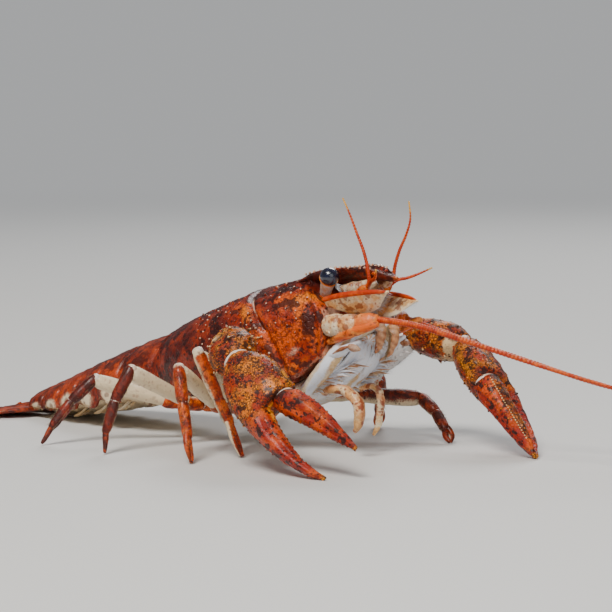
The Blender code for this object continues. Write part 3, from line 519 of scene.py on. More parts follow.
class Piece:
    """One visible piece: skins, spines and hairs are added to its mesh, and then it is finished."""

    def __init__(self, name: str, slot: Slot) -> None:
        """Starts an empty piece.

        Args:
            name: The piece's name.
            slot: The record's slot for the piece. It is kept on the piece but not used; the finish comes from
                the materials given to finish.
        """
        self.name = name
        self.slot = slot
        self.mesh = self._open()
        self.scratch = bpy.data.meshes.new(f"{name}_part")

    @staticmethod
    def _open() -> bmesh.types.BMesh:
        """An empty mesh with the layers that every part has."""
        mesh = bmesh.new()
        mesh.loops.layers.uv.new("Surface")
        for mark in Mark:
            mesh.verts.layers.float.new(mark.value)
        return mesh

    def _join(self, part: bmesh.types.BMesh, material: int) -> None:
        """Adds a part to the piece, its faces turned outward."""
        for face in part.faces:
            face.material_index = material
        bmesh.ops.recalc_face_normals(part, faces=part.faces)
        part.to_mesh(self.scratch)
        part.free()
        self.mesh.from_mesh(self.scratch)

    @staticmethod
    def _roughen(part: bmesh.types.BMesh, height: float, grain: float) -> None:
        """Moves a part's vertices in and out along their normals, by smooth noise."""
        part.normal_update()
        moves = [
            vert.normal * noise.noise(vert.co / (grain * MM) + Vector((grain, grain, grain))) * height * MM
            for vert in part.verts
        ]
        for vert, move in zip(part.verts, moves):
            vert.co += move

    def skin(
        self,
        rings: list[Ring],
        marks: dict[Mark, Tone | float] | None = None,
        material: int = 0,
        rough: Sequence[tuple[float, float]] = (),
    ) -> Surface:
        """Adds a closed surface through rings.

        Args:
            rings: Rings of as many points each. Rings that shrink to a point close the surface.
            marks: What each mark is, by the share along the rings and how far round.
            material: The place of the surface's material on the piece.
            rough: Heights and sizes of bumps, in millimetres.

        Returns:
            The surface, to set things on.
        """
        sides, steps = len(rings[0]), len(rings) - 1
        part = self._open()
        layers = {mark: part.verts.layers.float[mark.value] for mark in Mark}
        bmesh.ops.create_grid(part, x_segments=sides, y_segments=steps, size=1.0, calc_uvs=True)
        for vert in part.verts:
            k = round((vert.co.x + 1) / 2 * sides)
            index = round((vert.co.y + 1) / 2 * steps)
            for mark, tone in (marks or {}).items():
                value = tone(index / steps, k / sides) if callable(tone) else tone
                vert[layers[mark]] = min(max(value, 0.0), 1.0)
            vert.co = LAYOUT.world(rings[index][k % sides])
        bmesh.ops.remove_doubles(part, verts=part.verts, dist=MERGE)
        bmesh.ops.recalc_face_normals(part, faces=part.faces)
        for height, grain in rough:
            self._roughen(part, height, grain)
        self._join(part, material)
        return Surface(rings)

    def spine(
        self,
        root: Vector,
        heading: Vector,
        length: float,
        radius: float,
        blunt: float = 0.25,
        marks: dict[Mark, float] | None = None,
        whole: bool = False,
    ) -> None:
        """Adds a small horn with its root sunk in.

        Args:
            root: Where it leaves the surface.
            heading: Which way it points.
            length: How far it stands out.
            radius: Its half width at the root.
            blunt: 0 for a sharp tip, 1 for a round one.
            marks: What each mark comes to at its tip.
            whole: Whether the marks cover it down to its root.
        """
        forward, out, up = axes(heading, Vector((heading.y, heading.z, heading.x)) + Vector((0.1, 0.2, 0.3)))
        profile = ((SPINE_ROOT, 1.12), (0.0, 1.0), (0.3, 0.66 + 0.24 * blunt), (0.68, 0.28 + 0.45 * blunt),
                   (0.92, 0.06 + 0.36 * blunt), (1.0, 0.0))
        rings = []
        for along, share in profile:
            size = radius * share
            rings.append(oval(root + forward * along * length, out, up, size, size, size, sides=SPINE_SIDES))
        tones = marks if marks is not None else {PALE: 1.0}
        start = -1.0 if whole else 0.35
        rising = {mark: (lambda v, u, top=top: top * climb(v, start, 0.4)) for mark, top in tones.items()}
        self.skin(rings, rising)

    def hair(self, root: Vector, heading: Vector, length: float, radius: float, material: int) -> None:
        """Adds one straight tapering hair of three sides."""
        heading = heading.normalized()
        turn = heading.to_track_quat("Z", "Y").to_matrix().to_4x4()
        place = Matrix.Translation(LAYOUT.world(root + heading * length * 0.45))
        part = self._open()
        bmesh.ops.create_cone(part, cap_ends=True, segments=3, radius1=radius * MM, radius2=0.0,
                              depth=length * MM, matrix=place @ turn)
        self._join(part, material)

    def fringe(
        self,
        points: Sequence[Vector],
        heading: Vector,
        length: float,
        count: int,
        chance: random.Random,
        spread: float = 0.25,
        material: int = 1,
        radius: float = 0.04,
    ) -> None:
        """Adds a row of hairs.

        Args:
            points: The curve that they stand on.
            heading: Which way they point.
            length: Their length, which varies by a third.
            count: How many there are.
            chance: Where their differences come from.
            spread: How far their directions differ.
            material: The place of their material on the piece.
            radius: Their half width at the root.
        """
        heading = heading.normalized()
        for index in range(count):
            root = on_curve(points, (index + chance.random()) / count)
            lean = Vector([chance.gauss(0.0, spread) for _ in range(3)])
            self.hair(root, heading + lean, length * chance.uniform(0.65, 1.05), radius, material)

    def finish(self, materials: Sequence[bpy.types.Material], *nodes: str) -> None:
        """Makes the piece an object that rides on the body and stands for its solids.

        Args:
            materials: Its materials, in the order that its surfaces name them.
            nodes: The solids that it stands for.
        """
        data = bpy.data.meshes.new(self.name)
        self.mesh.to_mesh(data)
        self.mesh.free()
        bpy.data.meshes.remove(self.scratch)
        data.shade_smooth()
        for material in materials:
            data.materials.append(material)
        piece = new_object(self.name, data)
        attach(piece, "root")
        if nodes:
            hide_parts(*nodes)
        LOG.info("%s: %d faces for %s", self.name, len(data.polygons), ", ".join(nodes) or "no node")


class Graph:
    """A short way to write shader nodes and their links."""

    def __init__(self, tree: bpy.types.NodeTree) -> None:
        """Writes into a node tree."""
        self.tree = tree

    def feed(self, node: bpy.types.Node, sockets: Sockets) -> None:
        """Gives sockets of a node, by name or number, links or plain values."""
        for key, value in sockets.items():
            if isinstance(value, Socket):
                self.tree.links.new(value, node.inputs[key])
            else:
                node.inputs[key].default_value = value

    def node(self, kind: str, sockets: Sockets | None = None, **values: object) -> bpy.types.Node:
        """Adds a node, sets its properties and feeds its sockets."""
        made = self.tree.nodes.new(kind)
        for name, value in values.items():
            setattr(made, name, value)
        self.feed(made, sockets or {})
        return made

    def place(self) -> Socket:
        """The object's own coordinates."""
        return self.node("ShaderNodeTexCoord").outputs["Object"]

    def math(self, operation: str, first: object, second: object = 0.0, clamp: bool = False) -> Socket:
        """The result of one sum."""
        sockets = {0: first, 1: second}
        return self.node("ShaderNodeMath", sockets, operation=operation, use_clamp=clamp).outputs[0]

    def mark(self, mark: Mark) -> Socket:
        """What the mesh says of a mark."""
        return self.node("ShaderNodeAttribute", attribute_name=mark.value).outputs["Fac"]

    def times(self, first: object, second: object) -> Socket:
        """One value times another."""
        return self.math("MULTIPLY", first, second)

    def ramp(self, value: object, low: float, high: float, start: float = 0.0, end: float = 1.0) -> Socket:
        """A smooth step of a value from one number to another."""
        sockets = dict(enumerate((value, low, high, start, end)))
        return self.node("ShaderNodeMapRange", sockets, interpolation_type="SMOOTHSTEP").outputs[0]

    def mix(self, share: object, first: object, second: object) -> Socket:
        """A mix of two colours."""
        sockets = {0: share, 6: first, 7: second}
        return self.node("ShaderNodeMix", sockets, data_type="RGBA", clamp_factor=True).outputs[2]

    def noise(self, place: object, scale: object, detail: float = 2.0, rough: float = 0.5) -> Socket:
        """Smooth noise from 0 to 1."""
        sockets = {"Vector": place, "Scale": scale, "Detail": detail, "Roughness": rough}
        return self.node("ShaderNodeTexNoise", sockets, noise_dimensions="3D").outputs["Fac"]

    def cells(self, place: object, scale: object, feature: str = "F1") -> Socket:
        """The distance to the nearest cell's middle or edge."""
        sockets = {"Vector": place, "Scale": scale}
        made = self.node("ShaderNodeTexVoronoi", sockets, feature=feature, voronoi_dimensions="3D")
        return made.outputs["Distance"]

    def bump(self, height: object, distance: float, strength: float) -> Socket:
        """The surface's direction with a fine relief, whose greatest depth is in millimetres."""
        sockets = {"Distance": distance * MM, "Strength": strength, "Height": height}
        return self.node("ShaderNodeBump", sockets).outputs["Normal"]

    def warp(self, place: object, scale: float, reach: float) -> Socket:
        """A place pushed about by noise."""
        made = self.node("ShaderNodeTexNoise", {"Vector": place, "Scale": scale}, noise_dimensions="3D")
        sockets = {0: made.outputs["Color"], 1: (reach, reach, reach), 2: place}
        return self.node("ShaderNodeVectorMath", sockets, operation="MULTIPLY_ADD").outputs[0]


def open_material(name: str) -> tuple[bpy.types.Material, Graph, bpy.types.Node]:
    """A new material, what its nodes are written with, and its shader."""
    material = bpy.data.materials.new(name)
    material.use_nodes = True
    return material, Graph(material.node_tree), material.node_tree.nodes["Principled BSDF"]


class MottleGroup:
    """The shell's pattern: patches, a dark network with dots, blots and pale grains, in millimetres."""

    NAME = "shell_mottle"
    COLOURS = ("Mid", "Light", "Glow", "Dark", "Pale")
    AMOUNTS = ("Patch Scale", "Network Scale", "Network", "Spot Scale", "Spots", "Grain Scale", "Grains",
               "Glow Mask", "Dark Mask", "Pale Mask")

    @classmethod
    def tree(cls) -> bpy.types.NodeTree:
        """The group, built when it is first asked for."""
        return bpy.data.node_groups.get(cls.NAME) or cls._build()

    @classmethod
    def _build(cls) -> bpy.types.NodeTree:
        """Builds the group."""
        tree = bpy.data.node_groups.new(cls.NAME, "ShaderNodeTree")
        sockets = [("Place", "INPUT", "Vector")]
        sockets += [(name, "INPUT", "Color") for name in cls.COLOURS]
        sockets += [(name, "INPUT", "Float") for name in cls.AMOUNTS]
        sockets += [("Colour", "OUTPUT", "Color")]
        sockets += [(name, "OUTPUT", "Float") for name in ("Roughness", "Height")]
        for name, way, kind in sockets:
            tree.interface.new_socket(name, in_out=way, socket_type=f"NodeSocket{kind}")
        graph = Graph(tree)
        source = graph.node("NodeGroupInput").outputs
        sockets = {0: source["Place"], "Scale": 1.0 / MM}
        place = graph.node("ShaderNodeVectorMath", sockets, operation="SCALE").outputs[0]
        bent = graph.warp(place, 0.9, 0.9)
        patches = graph.noise(place, source["Patch Scale"], 3.0, 0.55)
        fine = graph.noise(place, 4.5, 4.0, 0.65)
        ragged = graph.times(graph.math("SUBTRACT", patches, 0.5), 0.8)
        ragged = graph.math("ADD", ragged, graph.times(graph.math("SUBTRACT", fine, 0.5), 0.7))

        def edged(mask: object, low: float, high: float) -> Socket:
            """A mask whose edge is made ragged by the patches and the grain."""
            broken = graph.times(ragged, graph.ramp(mask, 0.02, 0.3))
            return graph.ramp(graph.math("ADD", mask, broken), low, high)

        colour = graph.mix(graph.ramp(patches, 0.42, 0.6), source["Mid"], source["Light"])
        colour = graph.mix(edged(source["Glow Mask"], 0.2, 0.75), colour, source["Glow"])
        network = graph.cells(bent, source["Network Scale"], "DISTANCE_TO_EDGE")
        broken = graph.ramp(graph.noise(place, 0.8, 3.0), 0.36, 0.56)
        lines = graph.times(graph.ramp(network, 0.02, 0.2, 1.0, 0.0), broken)
        speckle = graph.ramp(fine, 0.52, 0.61)
        marks = graph.times(graph.math("MAXIMUM", lines, speckle), source["Network"])
        dots = graph.ramp(graph.cells(bent, graph.times(source["Spot Scale"], 1.9)), 0.2, 0.4, 1.0, 0.0)
        dots = graph.times(dots, graph.ramp(graph.noise(place, 0.5, 2.0), 0.36, 0.48))
        blots = graph.ramp(graph.noise(bent, source["Spot Scale"], 2.5, 0.5), 0.54, 0.6)
        blots = graph.times(graph.math("MAXIMUM", blots, dots), source["Spots"])
        shade = graph.times(source["Dark Mask"], graph.ramp(patches, 0.2, 0.62, 1.15, 0.65))
        dark = graph.math("ADD", graph.math("MAXIMUM", marks, blots), shade, clamp=True)
        colour = graph.mix(graph.times(dark, 0.93), colour, source["Dark"])
        grains = graph.ramp(graph.cells(place, source["Grain Scale"]), 0.12, 0.24, 1.0, 0.0)
        grains = graph.times(grains, source["Grains"])
        colour = graph.mix(graph.times(grains, 0.8), colour, source["Light"])
        freckles = graph.times(graph.times(dots, source["Spots"]),
                              graph.ramp(source["Pale Mask"], 0.8, 1.2, 0.85, 0.0))
        clear = graph.math("SUBTRACT", 1.0, freckles)
        colour = graph.mix(graph.times(edged(source["Pale Mask"], 0.18, 0.62), clear), colour, source["Pale"])
        rough = graph.ramp(fine, 0.3, 0.7, 0.3, 0.55)
        height = graph.math("ADD", graph.times(grains, 0.9), graph.times(fine, 0.45))
        height = graph.math("SUBTRACT", height, graph.times(lines, 0.3))
        graph.node("NodeGroupOutput", {"Colour": colour, "Roughness": rough, "Height": height})
        return tree


@dataclass(frozen=True)
class Shell:
    """A mottled horny finish, and the colours that it turns to where its mesh is marked so."""

    name: str
    mid: Colour
    light: Colour
    dark: Colour
    pale: Colour = (0.84, 0.68, 0.46)
    glow: Colour = (0.90, 0.30, 0.02)
    blush: Colour = (0.46, 0.035, 0.006)
    blush_light: Colour = (0.74, 0.13, 0.012)
    patch: float = 0.35
    network: float = 0.6
    network_scale: float = 1.1
    spots: float = 0.5
    spot_scale: float = 0.5
    grains: float = 0.5
    grain_scale: float = 0.9
    relief: float = 0.18
    relief_strength: float = 0.9
    coat: float = 0.18
    coat_roughness: float = 0.14
    specular: float = 0.3

    def build(self) -> bpy.types.Material:
        """Makes the material.

        Returns:
            The material, with the pattern laid over the object's own coordinates.
        """
        material, graph, shader = open_material(self.name)
        blush = graph.mark(BLUSH)
        mottle = graph.node("ShaderNodeGroup", node_tree=MottleGroup.tree())
        graph.feed(mottle, {
            "Place": graph.place(),
            "Mid": graph.mix(blush, (*self.mid, 1.0), (*self.blush, 1.0)),
            "Light": graph.mix(blush, (*self.light, 1.0), (*self.blush_light, 1.0)),
            "Glow": (*self.glow, 1.0), "Dark": (*self.dark, 1.0), "Pale": (*self.pale, 1.0),
            "Patch Scale": self.patch, "Network Scale": self.network_scale,
            "Network": graph.ramp(blush, 0.1, 0.9, self.network, self.network * 0.3),
            "Spot Scale": self.spot_scale, "Spots": self.spots, "Grain Scale": self.grain_scale,
            "Grains": self.grains, "Glow Mask": graph.mark(GLOW), "Dark Mask": graph.mark(DARK),
            "Pale Mask": graph.mark(PALE),
        })
        graph.feed(shader, {
            "Base Color": mottle.outputs["Colour"], "Roughness": mottle.outputs["Roughness"],
            "Normal": graph.bump(mottle.outputs["Height"], self.relief, self.relief_strength),
            "Coat Weight": self.coat, "Coat Roughness": self.coat_roughness,
            "Specular IOR Level": self.specular,
        })
        return material


class Palette:
    """The finishes of the animal, each made once."""

    # How fine the mottling of hairs and eyes and the facets of the eyes are, in repeats to a metre.
    HAIR_GRAIN = 900.0
    EYE_GRAIN = 700.0
    FACETS = 16000.0

    CARAPACE = Shell(
        "carapace_shell", mid=(0.40, 0.028, 0.002), light=(0.78, 0.105, 0.003), dark=(0.028, 0.004, 0.003),
        pale=(0.84, 0.58, 0.42), glow=(0.96, 0.22, 0.003), blush=(0.10, 0.007, 0.003),
        blush_light=(0.30, 0.022, 0.004), patch=0.34, network=0.8, network_scale=1.3, spots=0.95,
        spot_scale=0.5, grains=0.3, grain_scale=0.8,
    )
    TAIL = Shell(
        "tail_shell", mid=(0.24, 0.020, 0.004), light=(0.54, 0.060, 0.006), dark=(0.026, 0.004, 0.004),
        patch=0.25, network=0.6, spots=0.8, spot_scale=0.3, grains=0.25,
    )
    CLAW = Shell(
        "claw_shell", mid=(0.42, 0.036, 0.002), light=(0.92, 0.25, 0.007), dark=(0.016, 0.005, 0.005),
        pale=(0.86, 0.62, 0.32), glow=(0.96, 0.33, 0.010), blush=(0.36, 0.014, 0.002),
        blush_light=(0.72, 0.065, 0.003), patch=0.4, network=1.0, network_scale=2.0, spots=1.0,
        spot_scale=0.72, grains=0.45, grain_scale=1.3, relief=0.24, coat=0.1,
    )
    ARM = replace(CLAW, name="upper_arm_shell", pale=(0.88, 0.88, 0.86))
    LEG = Shell(
        "leg_shell", mid=(0.58, 0.052, 0.002), light=(0.88, 0.16, 0.004), dark=(0.05, 0.007, 0.004),
        pale=(0.86, 0.70, 0.46), glow=(0.95, 0.30, 0.012), blush=(0.15, 0.010, 0.003),
        blush_light=(0.36, 0.028, 0.004), patch=0.45, network=0.6, network_scale=1.6, spots=0.7,
        spot_scale=0.6, grains=0.1,
    )
    CREAM = Shell(
        "cream_shell", mid=(0.80, 0.56, 0.28), light=(0.88, 0.76, 0.54), dark=(0.24, 0.045, 0.012),
        pale=(0.82, 0.86, 0.94), glow=(0.90, 0.22, 0.012), blush=(0.66, 0.11, 0.010),
        blush_light=(0.84, 0.28, 0.05), patch=0.4, network=0.3, network_scale=1.3, spots=0.25,
        spot_scale=0.6, grains=0.0, relief=0.1,
    )
    JOINT = Shell(
        "freckled_joint", mid=(0.88, 0.52, 0.20), light=(0.94, 0.80, 0.52), dark=(0.26, 0.034, 0.008),
        pale=(0.80, 0.66, 0.46), glow=(0.90, 0.20, 0.008), blush=(0.80, 0.13, 0.008),
        blush_light=(0.88, 0.28, 0.05), patch=0.5, network=0.3, network_scale=1.5, spots=0.8,
        spot_scale=0.6, grains=0.0, relief=0.1,
    )
    FEELER = Shell(
        "feeler_shell", mid=(0.52, 0.034, 0.001), light=(0.72, 0.085, 0.002), dark=(0.10, 0.007, 0.002),
        glow=(0.94, 0.50, 0.07), blush=(0.66, 0.085, 0.004), blush_light=(0.84, 0.22, 0.012), patch=0.8,
        network=0.15, spots=0.2, spot_scale=0.9, grains=0.0, relief=0.06, coat=0.1,
    )
    MEMBRANE = Shell(
        "membrane", mid=(0.80, 0.60, 0.46), light=(0.86, 0.78, 0.70), dark=(0.42, 0.20, 0.14),
        pale=(0.70, 0.64, 0.88), patch=0.5, network=0.06, spots=0.1, grains=0.0, relief=0.05, coat=0.4,
    )

    def __init__(self) -> None:
        """Makes every finish."""
        self.carapace = self.CARAPACE.build()
        self.tail = self.TAIL.build()
        self.claw = self.CLAW.build()
        self.arm = self.ARM.build()
        self.leg = self.LEG.build()
        self.cream = self.CREAM.build()
        self.joint = self.JOINT.build()
        self.feeler = self.FEELER.build()
        self.membrane = self.MEMBRANE.build()
        self.eye = self._eye()
        self.hair = self._plain("hairs", (0.55, 0.38, 0.20), 0.5)
        self.pale_hair = self._plain("pale_hairs", (0.80, 0.82, 0.86), 0.4)

    @staticmethod
    def _plain(name: str, colour: Colour, roughness: float) -> bpy.types.Material:
        """A finish whose colour varies a little along the object."""
        material, graph, shader = open_material(name)
        darker = tuple(value * 0.6 for value in colour)
        tone = graph.mix(graph.noise(graph.place(), Palette.HAIR_GRAIN), (*darker, 1.0), (*colour, 1.0))
        graph.feed(shader, {"Base Color": tone, "Roughness": roughness})
        return material

    @staticmethod
    def _eye() -> bpy.types.Material:
        """The wet navy-black of the eye, with its fine facets."""
        material, graph, shader = open_material("eye_black")
        place = graph.place()
        tone = graph.ramp(graph.noise(place, Palette.EYE_GRAIN), 0.35, 0.7)
        colour = graph.mix(tone, (0.003, 0.003, 0.010, 1.0), (0.010, 0.014, 0.05, 1.0))
        facets = graph.ramp(graph.cells(place, Palette.FACETS, "DISTANCE_TO_EDGE"), 0.0, 0.2)
        graph.feed(shader, {
            "Base Color": graph.mix(graph.mark(PALE), colour, (0.60, 0.20, 0.17, 1.0)), "Roughness": 0.16,
            "Coat Weight": 1.0, "Coat Roughness": 0.03, "Normal": graph.bump(facets, 0.01, 0.3),
        })
        return material


@dataclass
class Carapace:
    """The shield over head and thorax, with its neck groove and rough flanks."""

    palette: Palette
    around: int = 168
    along: int = 150
    below: int = 24
    sweep: float = radians(120.0)
    groove_top: float = 21.0
    groove_sweep: float = 9.0
    groove_depth: float = 0.7
    groove_width: float = 0.5
    beak_start: float = 34.0
    seed: int = 5
    rear_tubercles: int = 84
    front_tubercles: int = 34

    def rear_edge(self, turn: float) -> float:
        """The rear edge: hollow at the middle, rounded at the lower corners."""
        return 0.6 - 0.8 * ease(turn / 0.5) + 3.2 * max(0.0, (turn - 0.72) / 0.28) ** 2

    def groove(self, turn: float) -> float:
        """The neck groove: far back on the top, sweeping forward down the flank."""
        return self.groove_top + self.groove_sweep * ease(turn * 0.92)

    def front_edge(self, turn: float) -> float:
        """The front edge: set back under the beak, furthest forward at the cheek."""
        return self.beak_start + 3.6 * climb(turn, 0.22, 0.5) - 1.4 * max(0.0, (turn - 0.8) / 0.2) ** 2

    def arch(self, s: float, turn: float, grow: float = 0.0) -> tuple[float, float]:
        """The section of the shield at s, so far round from the middle of the back."""
        wide, top, level, low = smooth(CARAPACE, s)
        angle = turn * self.sweep
        y = (wide + grow) * copysign(abs(sin(angle)) ** 0.92, angle)
        if abs(angle) < pi / 2:
            return y, level + (top - level + grow) * cos(angle)
        return y, level + 2 * (level - low + grow) * cos(angle)

    def place(self, s: float, turn: float, grow: float = 0.0) -> Vector:
        """A point of the shield."""
        return body(s, *self.arch(s, turn, grow))

    def facing(self, s: float, turn: float) -> tuple[Vector, Vector]:
        """A point of the shield and the direction that it faces."""
        here = self.place(s, turn)
        along, across = self.place(s + 0.3, turn) - here, self.place(s, turn + 0.01) - here
        return here, along.cross(across).normalized()

    def relief(self, s: float, turn: float) -> float:
        """How far the surface stands out at a place."""
        low = abs(turn)
        deep = self.groove_depth * (0.55 + 0.45 * ease(low / 0.5))
        away = s - self.groove(low)
        depth = -deep * hump(away, 0.0, self.groove_width)
        depth = depth + 0.22 * hump(away, -1.4, 0.9) + 0.12 * hump(away, 1.3, 0.9)
        depth -= 0.22 * hump(low, 0.125, 0.022) * ease((self.groove(low) - 1.5 - s) / 2.5) * ease(s / 4.0)
        ahead = self.front_edge(low) - s
        depth += 0.28 * hump(ahead, 0.35, 0.4) - 0.15 * hump(ahead, 1.3, 0.5)
        inside = s - self.rear_edge(low)
        depth += 0.2 * hump(inside, 0.3, 0.5) - 0.12 * hump(inside, 1.4, 0.5)
        depth += 0.3 * hump(low, 0.19, 0.03) * climb(s, 26.0, 3.0) * sink(s, 36.0, 3.0)
        depth += 0.25 * hump(low, 0.965, 0.03)
        return depth - 0.45 * sink(ahead, 0.5, 0.5) - 0.5 * ease((0.5 - s + self.rear_edge(low)) / 0.5)

    def build(self) -> None:
        """Builds the shield over both of its solids."""
        piece = Piece("carapace_shield", Slot.SHELL)
        rings = []
        for share in shares(self.along):
            ring = []
            for k in range(self.around + 1):
                turn = 2 * k / self.around - 1
                low = abs(turn)
                s = self.rear_edge(low) * (1 - share) + self.front_edge(low) * share
                ring.append(self.place(s, turn, self.relief(s, turn)))
            first, last = ring[-1], ring[0]
            ring += [
                first.lerp(last, k / self.below) + Vector((0, 0, 0.6)) * sin(pi * k / self.below)
                for k in range(1, self.below)
            ]
            rings.append(ring)
        rings = domed(rings, 0.1, 0.1, 2)
        total = len(rings[0])

        def turn_at(u: float) -> float:
            """How far round from the middle of the back a point of a ring is."""
            return min(abs(2 * u * total / self.around - 1), 1.0)

        def where(v: float, u: float) -> tuple[float, float, float, float]:
            """How far round a point is, its s, how far ahead of the groove, how far behind the front edge."""
            turn = turn_at(u)
            s = self.rear_edge(turn) * (1 - v) + self.front_edge(turn) * v
            return turn, s, s - self.groove(turn), self.front_edge(turn) - s

        def pale(v: float, u: float) -> float:
            """Pale on the front rim and in a patch low on the cheek, with a painted highlight along the upper
            part of the groove.
            """
            turn, s, ahead, behind = where(v, u)
            # Painted highlight: a pale line standing for the lit wall of the groove.
            groove = 0.7 * hump(ahead, 0.0, 0.3) * hump(turn, 0.4, 0.18)
            rim = 0.8 * hump(behind, 0.0, 0.5) * hump(turn, 0.78, 0.17)
            patch = 0.4 * hump(turn, 0.885, 0.03) * hump(s, 31.8, 1.6) + 0.3 * climb(turn, 0.96, 0.04)
            return max(groove, rim, patch)

        def dark(v: float, u: float) -> float:
            """Dark on the back and behind the front rim, with painted shade just ahead of the groove."""
            turn, _, ahead, behind = where(v, u)
            # The second term is painted shade on the slope just ahead of the groove; the first is the back's
            # own dark.
            back = 0.5 * sink(turn, 0.36, 0.2) + 0.4 * hump(ahead, 1.9, 1.6) * sink(turn, 0.56, 0.2)
            front = 0.55 * hump(behind, 1.7, 1.0) * hump(turn, 0.7, 0.14)
            front += 0.8 * hump(behind, 0.5, 1.4) * hump(turn, 0.3, 0.09)
            return max(back, front, 0.35 * sink(ahead, -4.0, 8.0))

        def maroon(v: float, u: float) -> float:
            """Maroon over the back and the rear, and a band of painted shade just ahead of the groove."""
            turn, _, ahead, _ = where(v, u)
            # The band is painted shade, darkening the slope just ahead of the groove; the back and rear
            # maroon is the shell's own colour.
            band = 0.95 * hump(ahead, 1.8, 2.0) * sink(turn, 0.62, 0.16)
            return max(sink(turn, 0.42, 0.12), 0.9 * sink(ahead, -2.4, 5.0), band)

        def glow(v: float, u: float) -> float:
            """Bright orange behind the eye and just behind the groove."""
            turn, s, ahead, _ = where(v, u)
            cheek = 0.75 * hump(s, 34.0, 3.0) * hump(turn, 0.47, 0.1)
            cheek += 0.35 * hump(s, 33.5, 2.6) * hump(turn, 0.66, 0.1)
            groove = 0.8 * hump(ahead, -1.7, 1.5) * hump(turn, 0.5, 0.13)
            return max(cheek, groove, 0.4 * hump(turn, 0.95, 0.03))

        marks = {PALE: pale, DARK: dark, BLUSH: maroon, GLOW: glow}
        piece.skin(rings, marks, rough=((0.12, 1.5), (0.07, 0.55)))
        self.add_tubercles(piece)
        piece.finish([self.palette.carapace], "carapace_front", "carapace_rear")

    def add_tubercles(self, piece: Piece) -> None:
        """Adds the grains of the flanks, the spines along the groove and those behind the eyes."""
        sizes = random.Random(self.seed)
        ahead = (body(1, 0, 0) - body(0, 0, 0)).normalized()
        patches = (
            (self.rear_tubercles, 0.2, 0.88,
             lambda turn: self.groove(turn) - 1.6, lambda turn: self.groove(turn) - 13),
            (self.front_tubercles, 0.26, 0.86,
             lambda turn: self.groove(turn) + 1.4, lambda turn: self.front_edge(turn) - 0.9),
        )
        for count, low, high, start, end in patches:
            for index in range(count):
                turn = low + (high - low) * (index * GOLDEN % 1.0)
                share = (index + 0.5) / count
                for sign in (-1, 1):
                    s = start(turn) + (end(turn) - start(turn)) * share + sizes.uniform(-0.4, 0.4)
                    here, out = self.facing(s, sign * turn)
                    size = sizes.uniform(0.14, 0.28)
                    piece.spine(here, out + ahead * 0.5, size * 1.3, size, 0.8,
                                marks={PALE: sizes.uniform(0.1, 0.7), BLUSH: 0.5})
        for turn in (0.52, 0.6, 0.68, 0.76, 0.84):
            for sign in (-1, 1):
                here, out = self.facing(self.groove(turn) - 1.0, sign * turn)
                piece.spine(here, out + ahead * 0.8, 0.9, 0.36)
        for s, turn, length in ((32.4, 0.2, 1.2), (30.6, 0.2, 0.5), (28.6, 0.22, 0.9), (26.8, 0.22, 0.45)):
            for sign in (-1, 1):
                here, out = self.facing(s, sign * turn)
                piece.spine(here, out + ahead * 1.3, length, 0.36, marks={PALE: 0.9})


@dataclass
class Beak:
    """The beak between the eyes: raised margins, a hollow between them, side spines and a long tip."""

    palette: Palette
    shield: Carapace
    count: int = 26
    steps: int = 90
    start: float = 27.5
    joined: float = 34.3
    beads: int = 14
    seed: int = 3

    def outline(self, s: float) -> list[tuple[float, float]]:
        """The section of the beak at s, sunk into the shield where it starts."""
        half, top, depth = smooth(BEAK, max(s, self.joined))
        hollow = 0.75 if s < 45.4 else 0.75 * max(0.0, (47.0 - s) / 1.6)
        points = mirrored(
            ((0.0, top - hollow * 0.5), (half * 0.25, top - hollow), (half * 0.65, top - hollow * 0.75),
             (half * 0.88, top), (half, top - 0.25), (half * 0.85, top - depth * 0.5),
             (half * 0.5, top - depth * 0.85), (0.0, top - depth)),
            self.count,
        )
        risen = ease((s - self.start) / (self.joined + 1.0 - self.start))
        if risen == 1.0:
            return points
        wide, peak, level, _ = smooth(CARAPACE, s)
        sunk = []
        for y, h in points:
            roof = level + (peak - level) * sqrt(max(0.0, 1 - (y / wide) ** 2)) - 0.3
            sunk.append((y, roof + (h - roof) * risen if h > roof - 1.0 else h))
        return sunk

    def build(self) -> None:
        """Builds the beak with its spines."""
        piece = Piece("beak_plate", Slot.SHELL)
        end = BEAK[-1][0]
        rings = []
        for index in range(self.steps + 1):
            s = self.start + (end - self.start) * index / self.steps
            rings.append([body(s, y, h) for y, h in self.outline(s)])
        rings = domed(rings, 0.2, 0.3, 3)
        piece.skin(rings, {
            DARK: lambda v, u: 0.74 - 0.4 * climb(v, 0.93, 0.07) + 0.2 * sin(v * 31.0),
            BLUSH: 0.9,
            GLOW: lambda v, u: (0.3 * hump(v, 0.97, 0.04) + 0.25 * wrap(u, 0.72, 0.05)
                                + 0.25 * wrap(u, 0.28, 0.05)),
        }, rough=((0.07, 0.9),))
        sizes = random.Random(self.seed)
        for index in range(self.beads):
            s = self.start + 5.5 + (44.6 - self.start - 5.5) * index / (self.beads - 1)
            half, top, _ = smooth(BEAK, max(s, self.joined))
            for sign in (-1, 1):
                size = sizes.uniform(0.17, 0.3)
                place = body(s, sign * half * 0.92, top - 0.02)
                piece.spine(place, Vector((0.5, sign * 0.45, 0.8)), size * 1.5, size, 0.9,
                            marks={PALE: 0.5, GLOW: 0.9}, whole=True)
        for s in (38.2, 40.6, 42.8):
            half, top, depth = smooth(BEAK, s)
            for sign in (-1, 1):
                place = body(s, sign * half * 0.93, top - depth * 0.12)
                piece.spine(place, Vector((0.9, sign * 0.6, 0.45)), 0.6, 0.28, marks={PALE: 0.75})
        half, top, _ = smooth(BEAK, 45.2)
        for sign in (-1, 1):
            piece.spine(body(45.0, sign * half * 0.85, top - 0.5), Vector((1.0, sign * 0.5, -0.1)), 1.1, 0.42,
                        marks={GLOW: 0.9, PALE: 0.3})
        tip = body(BEAK[-1][0] - 0.35, 0.0, BEAK[-1][2] - 0.1)
        piece.spine(tip, Vector((0.9, 0.0, 0.25)), 0.5, 0.4, 0.95, marks={GLOW: 0.9, PALE: 0.5})
        piece.finish([self.palette.carapace], "beak")


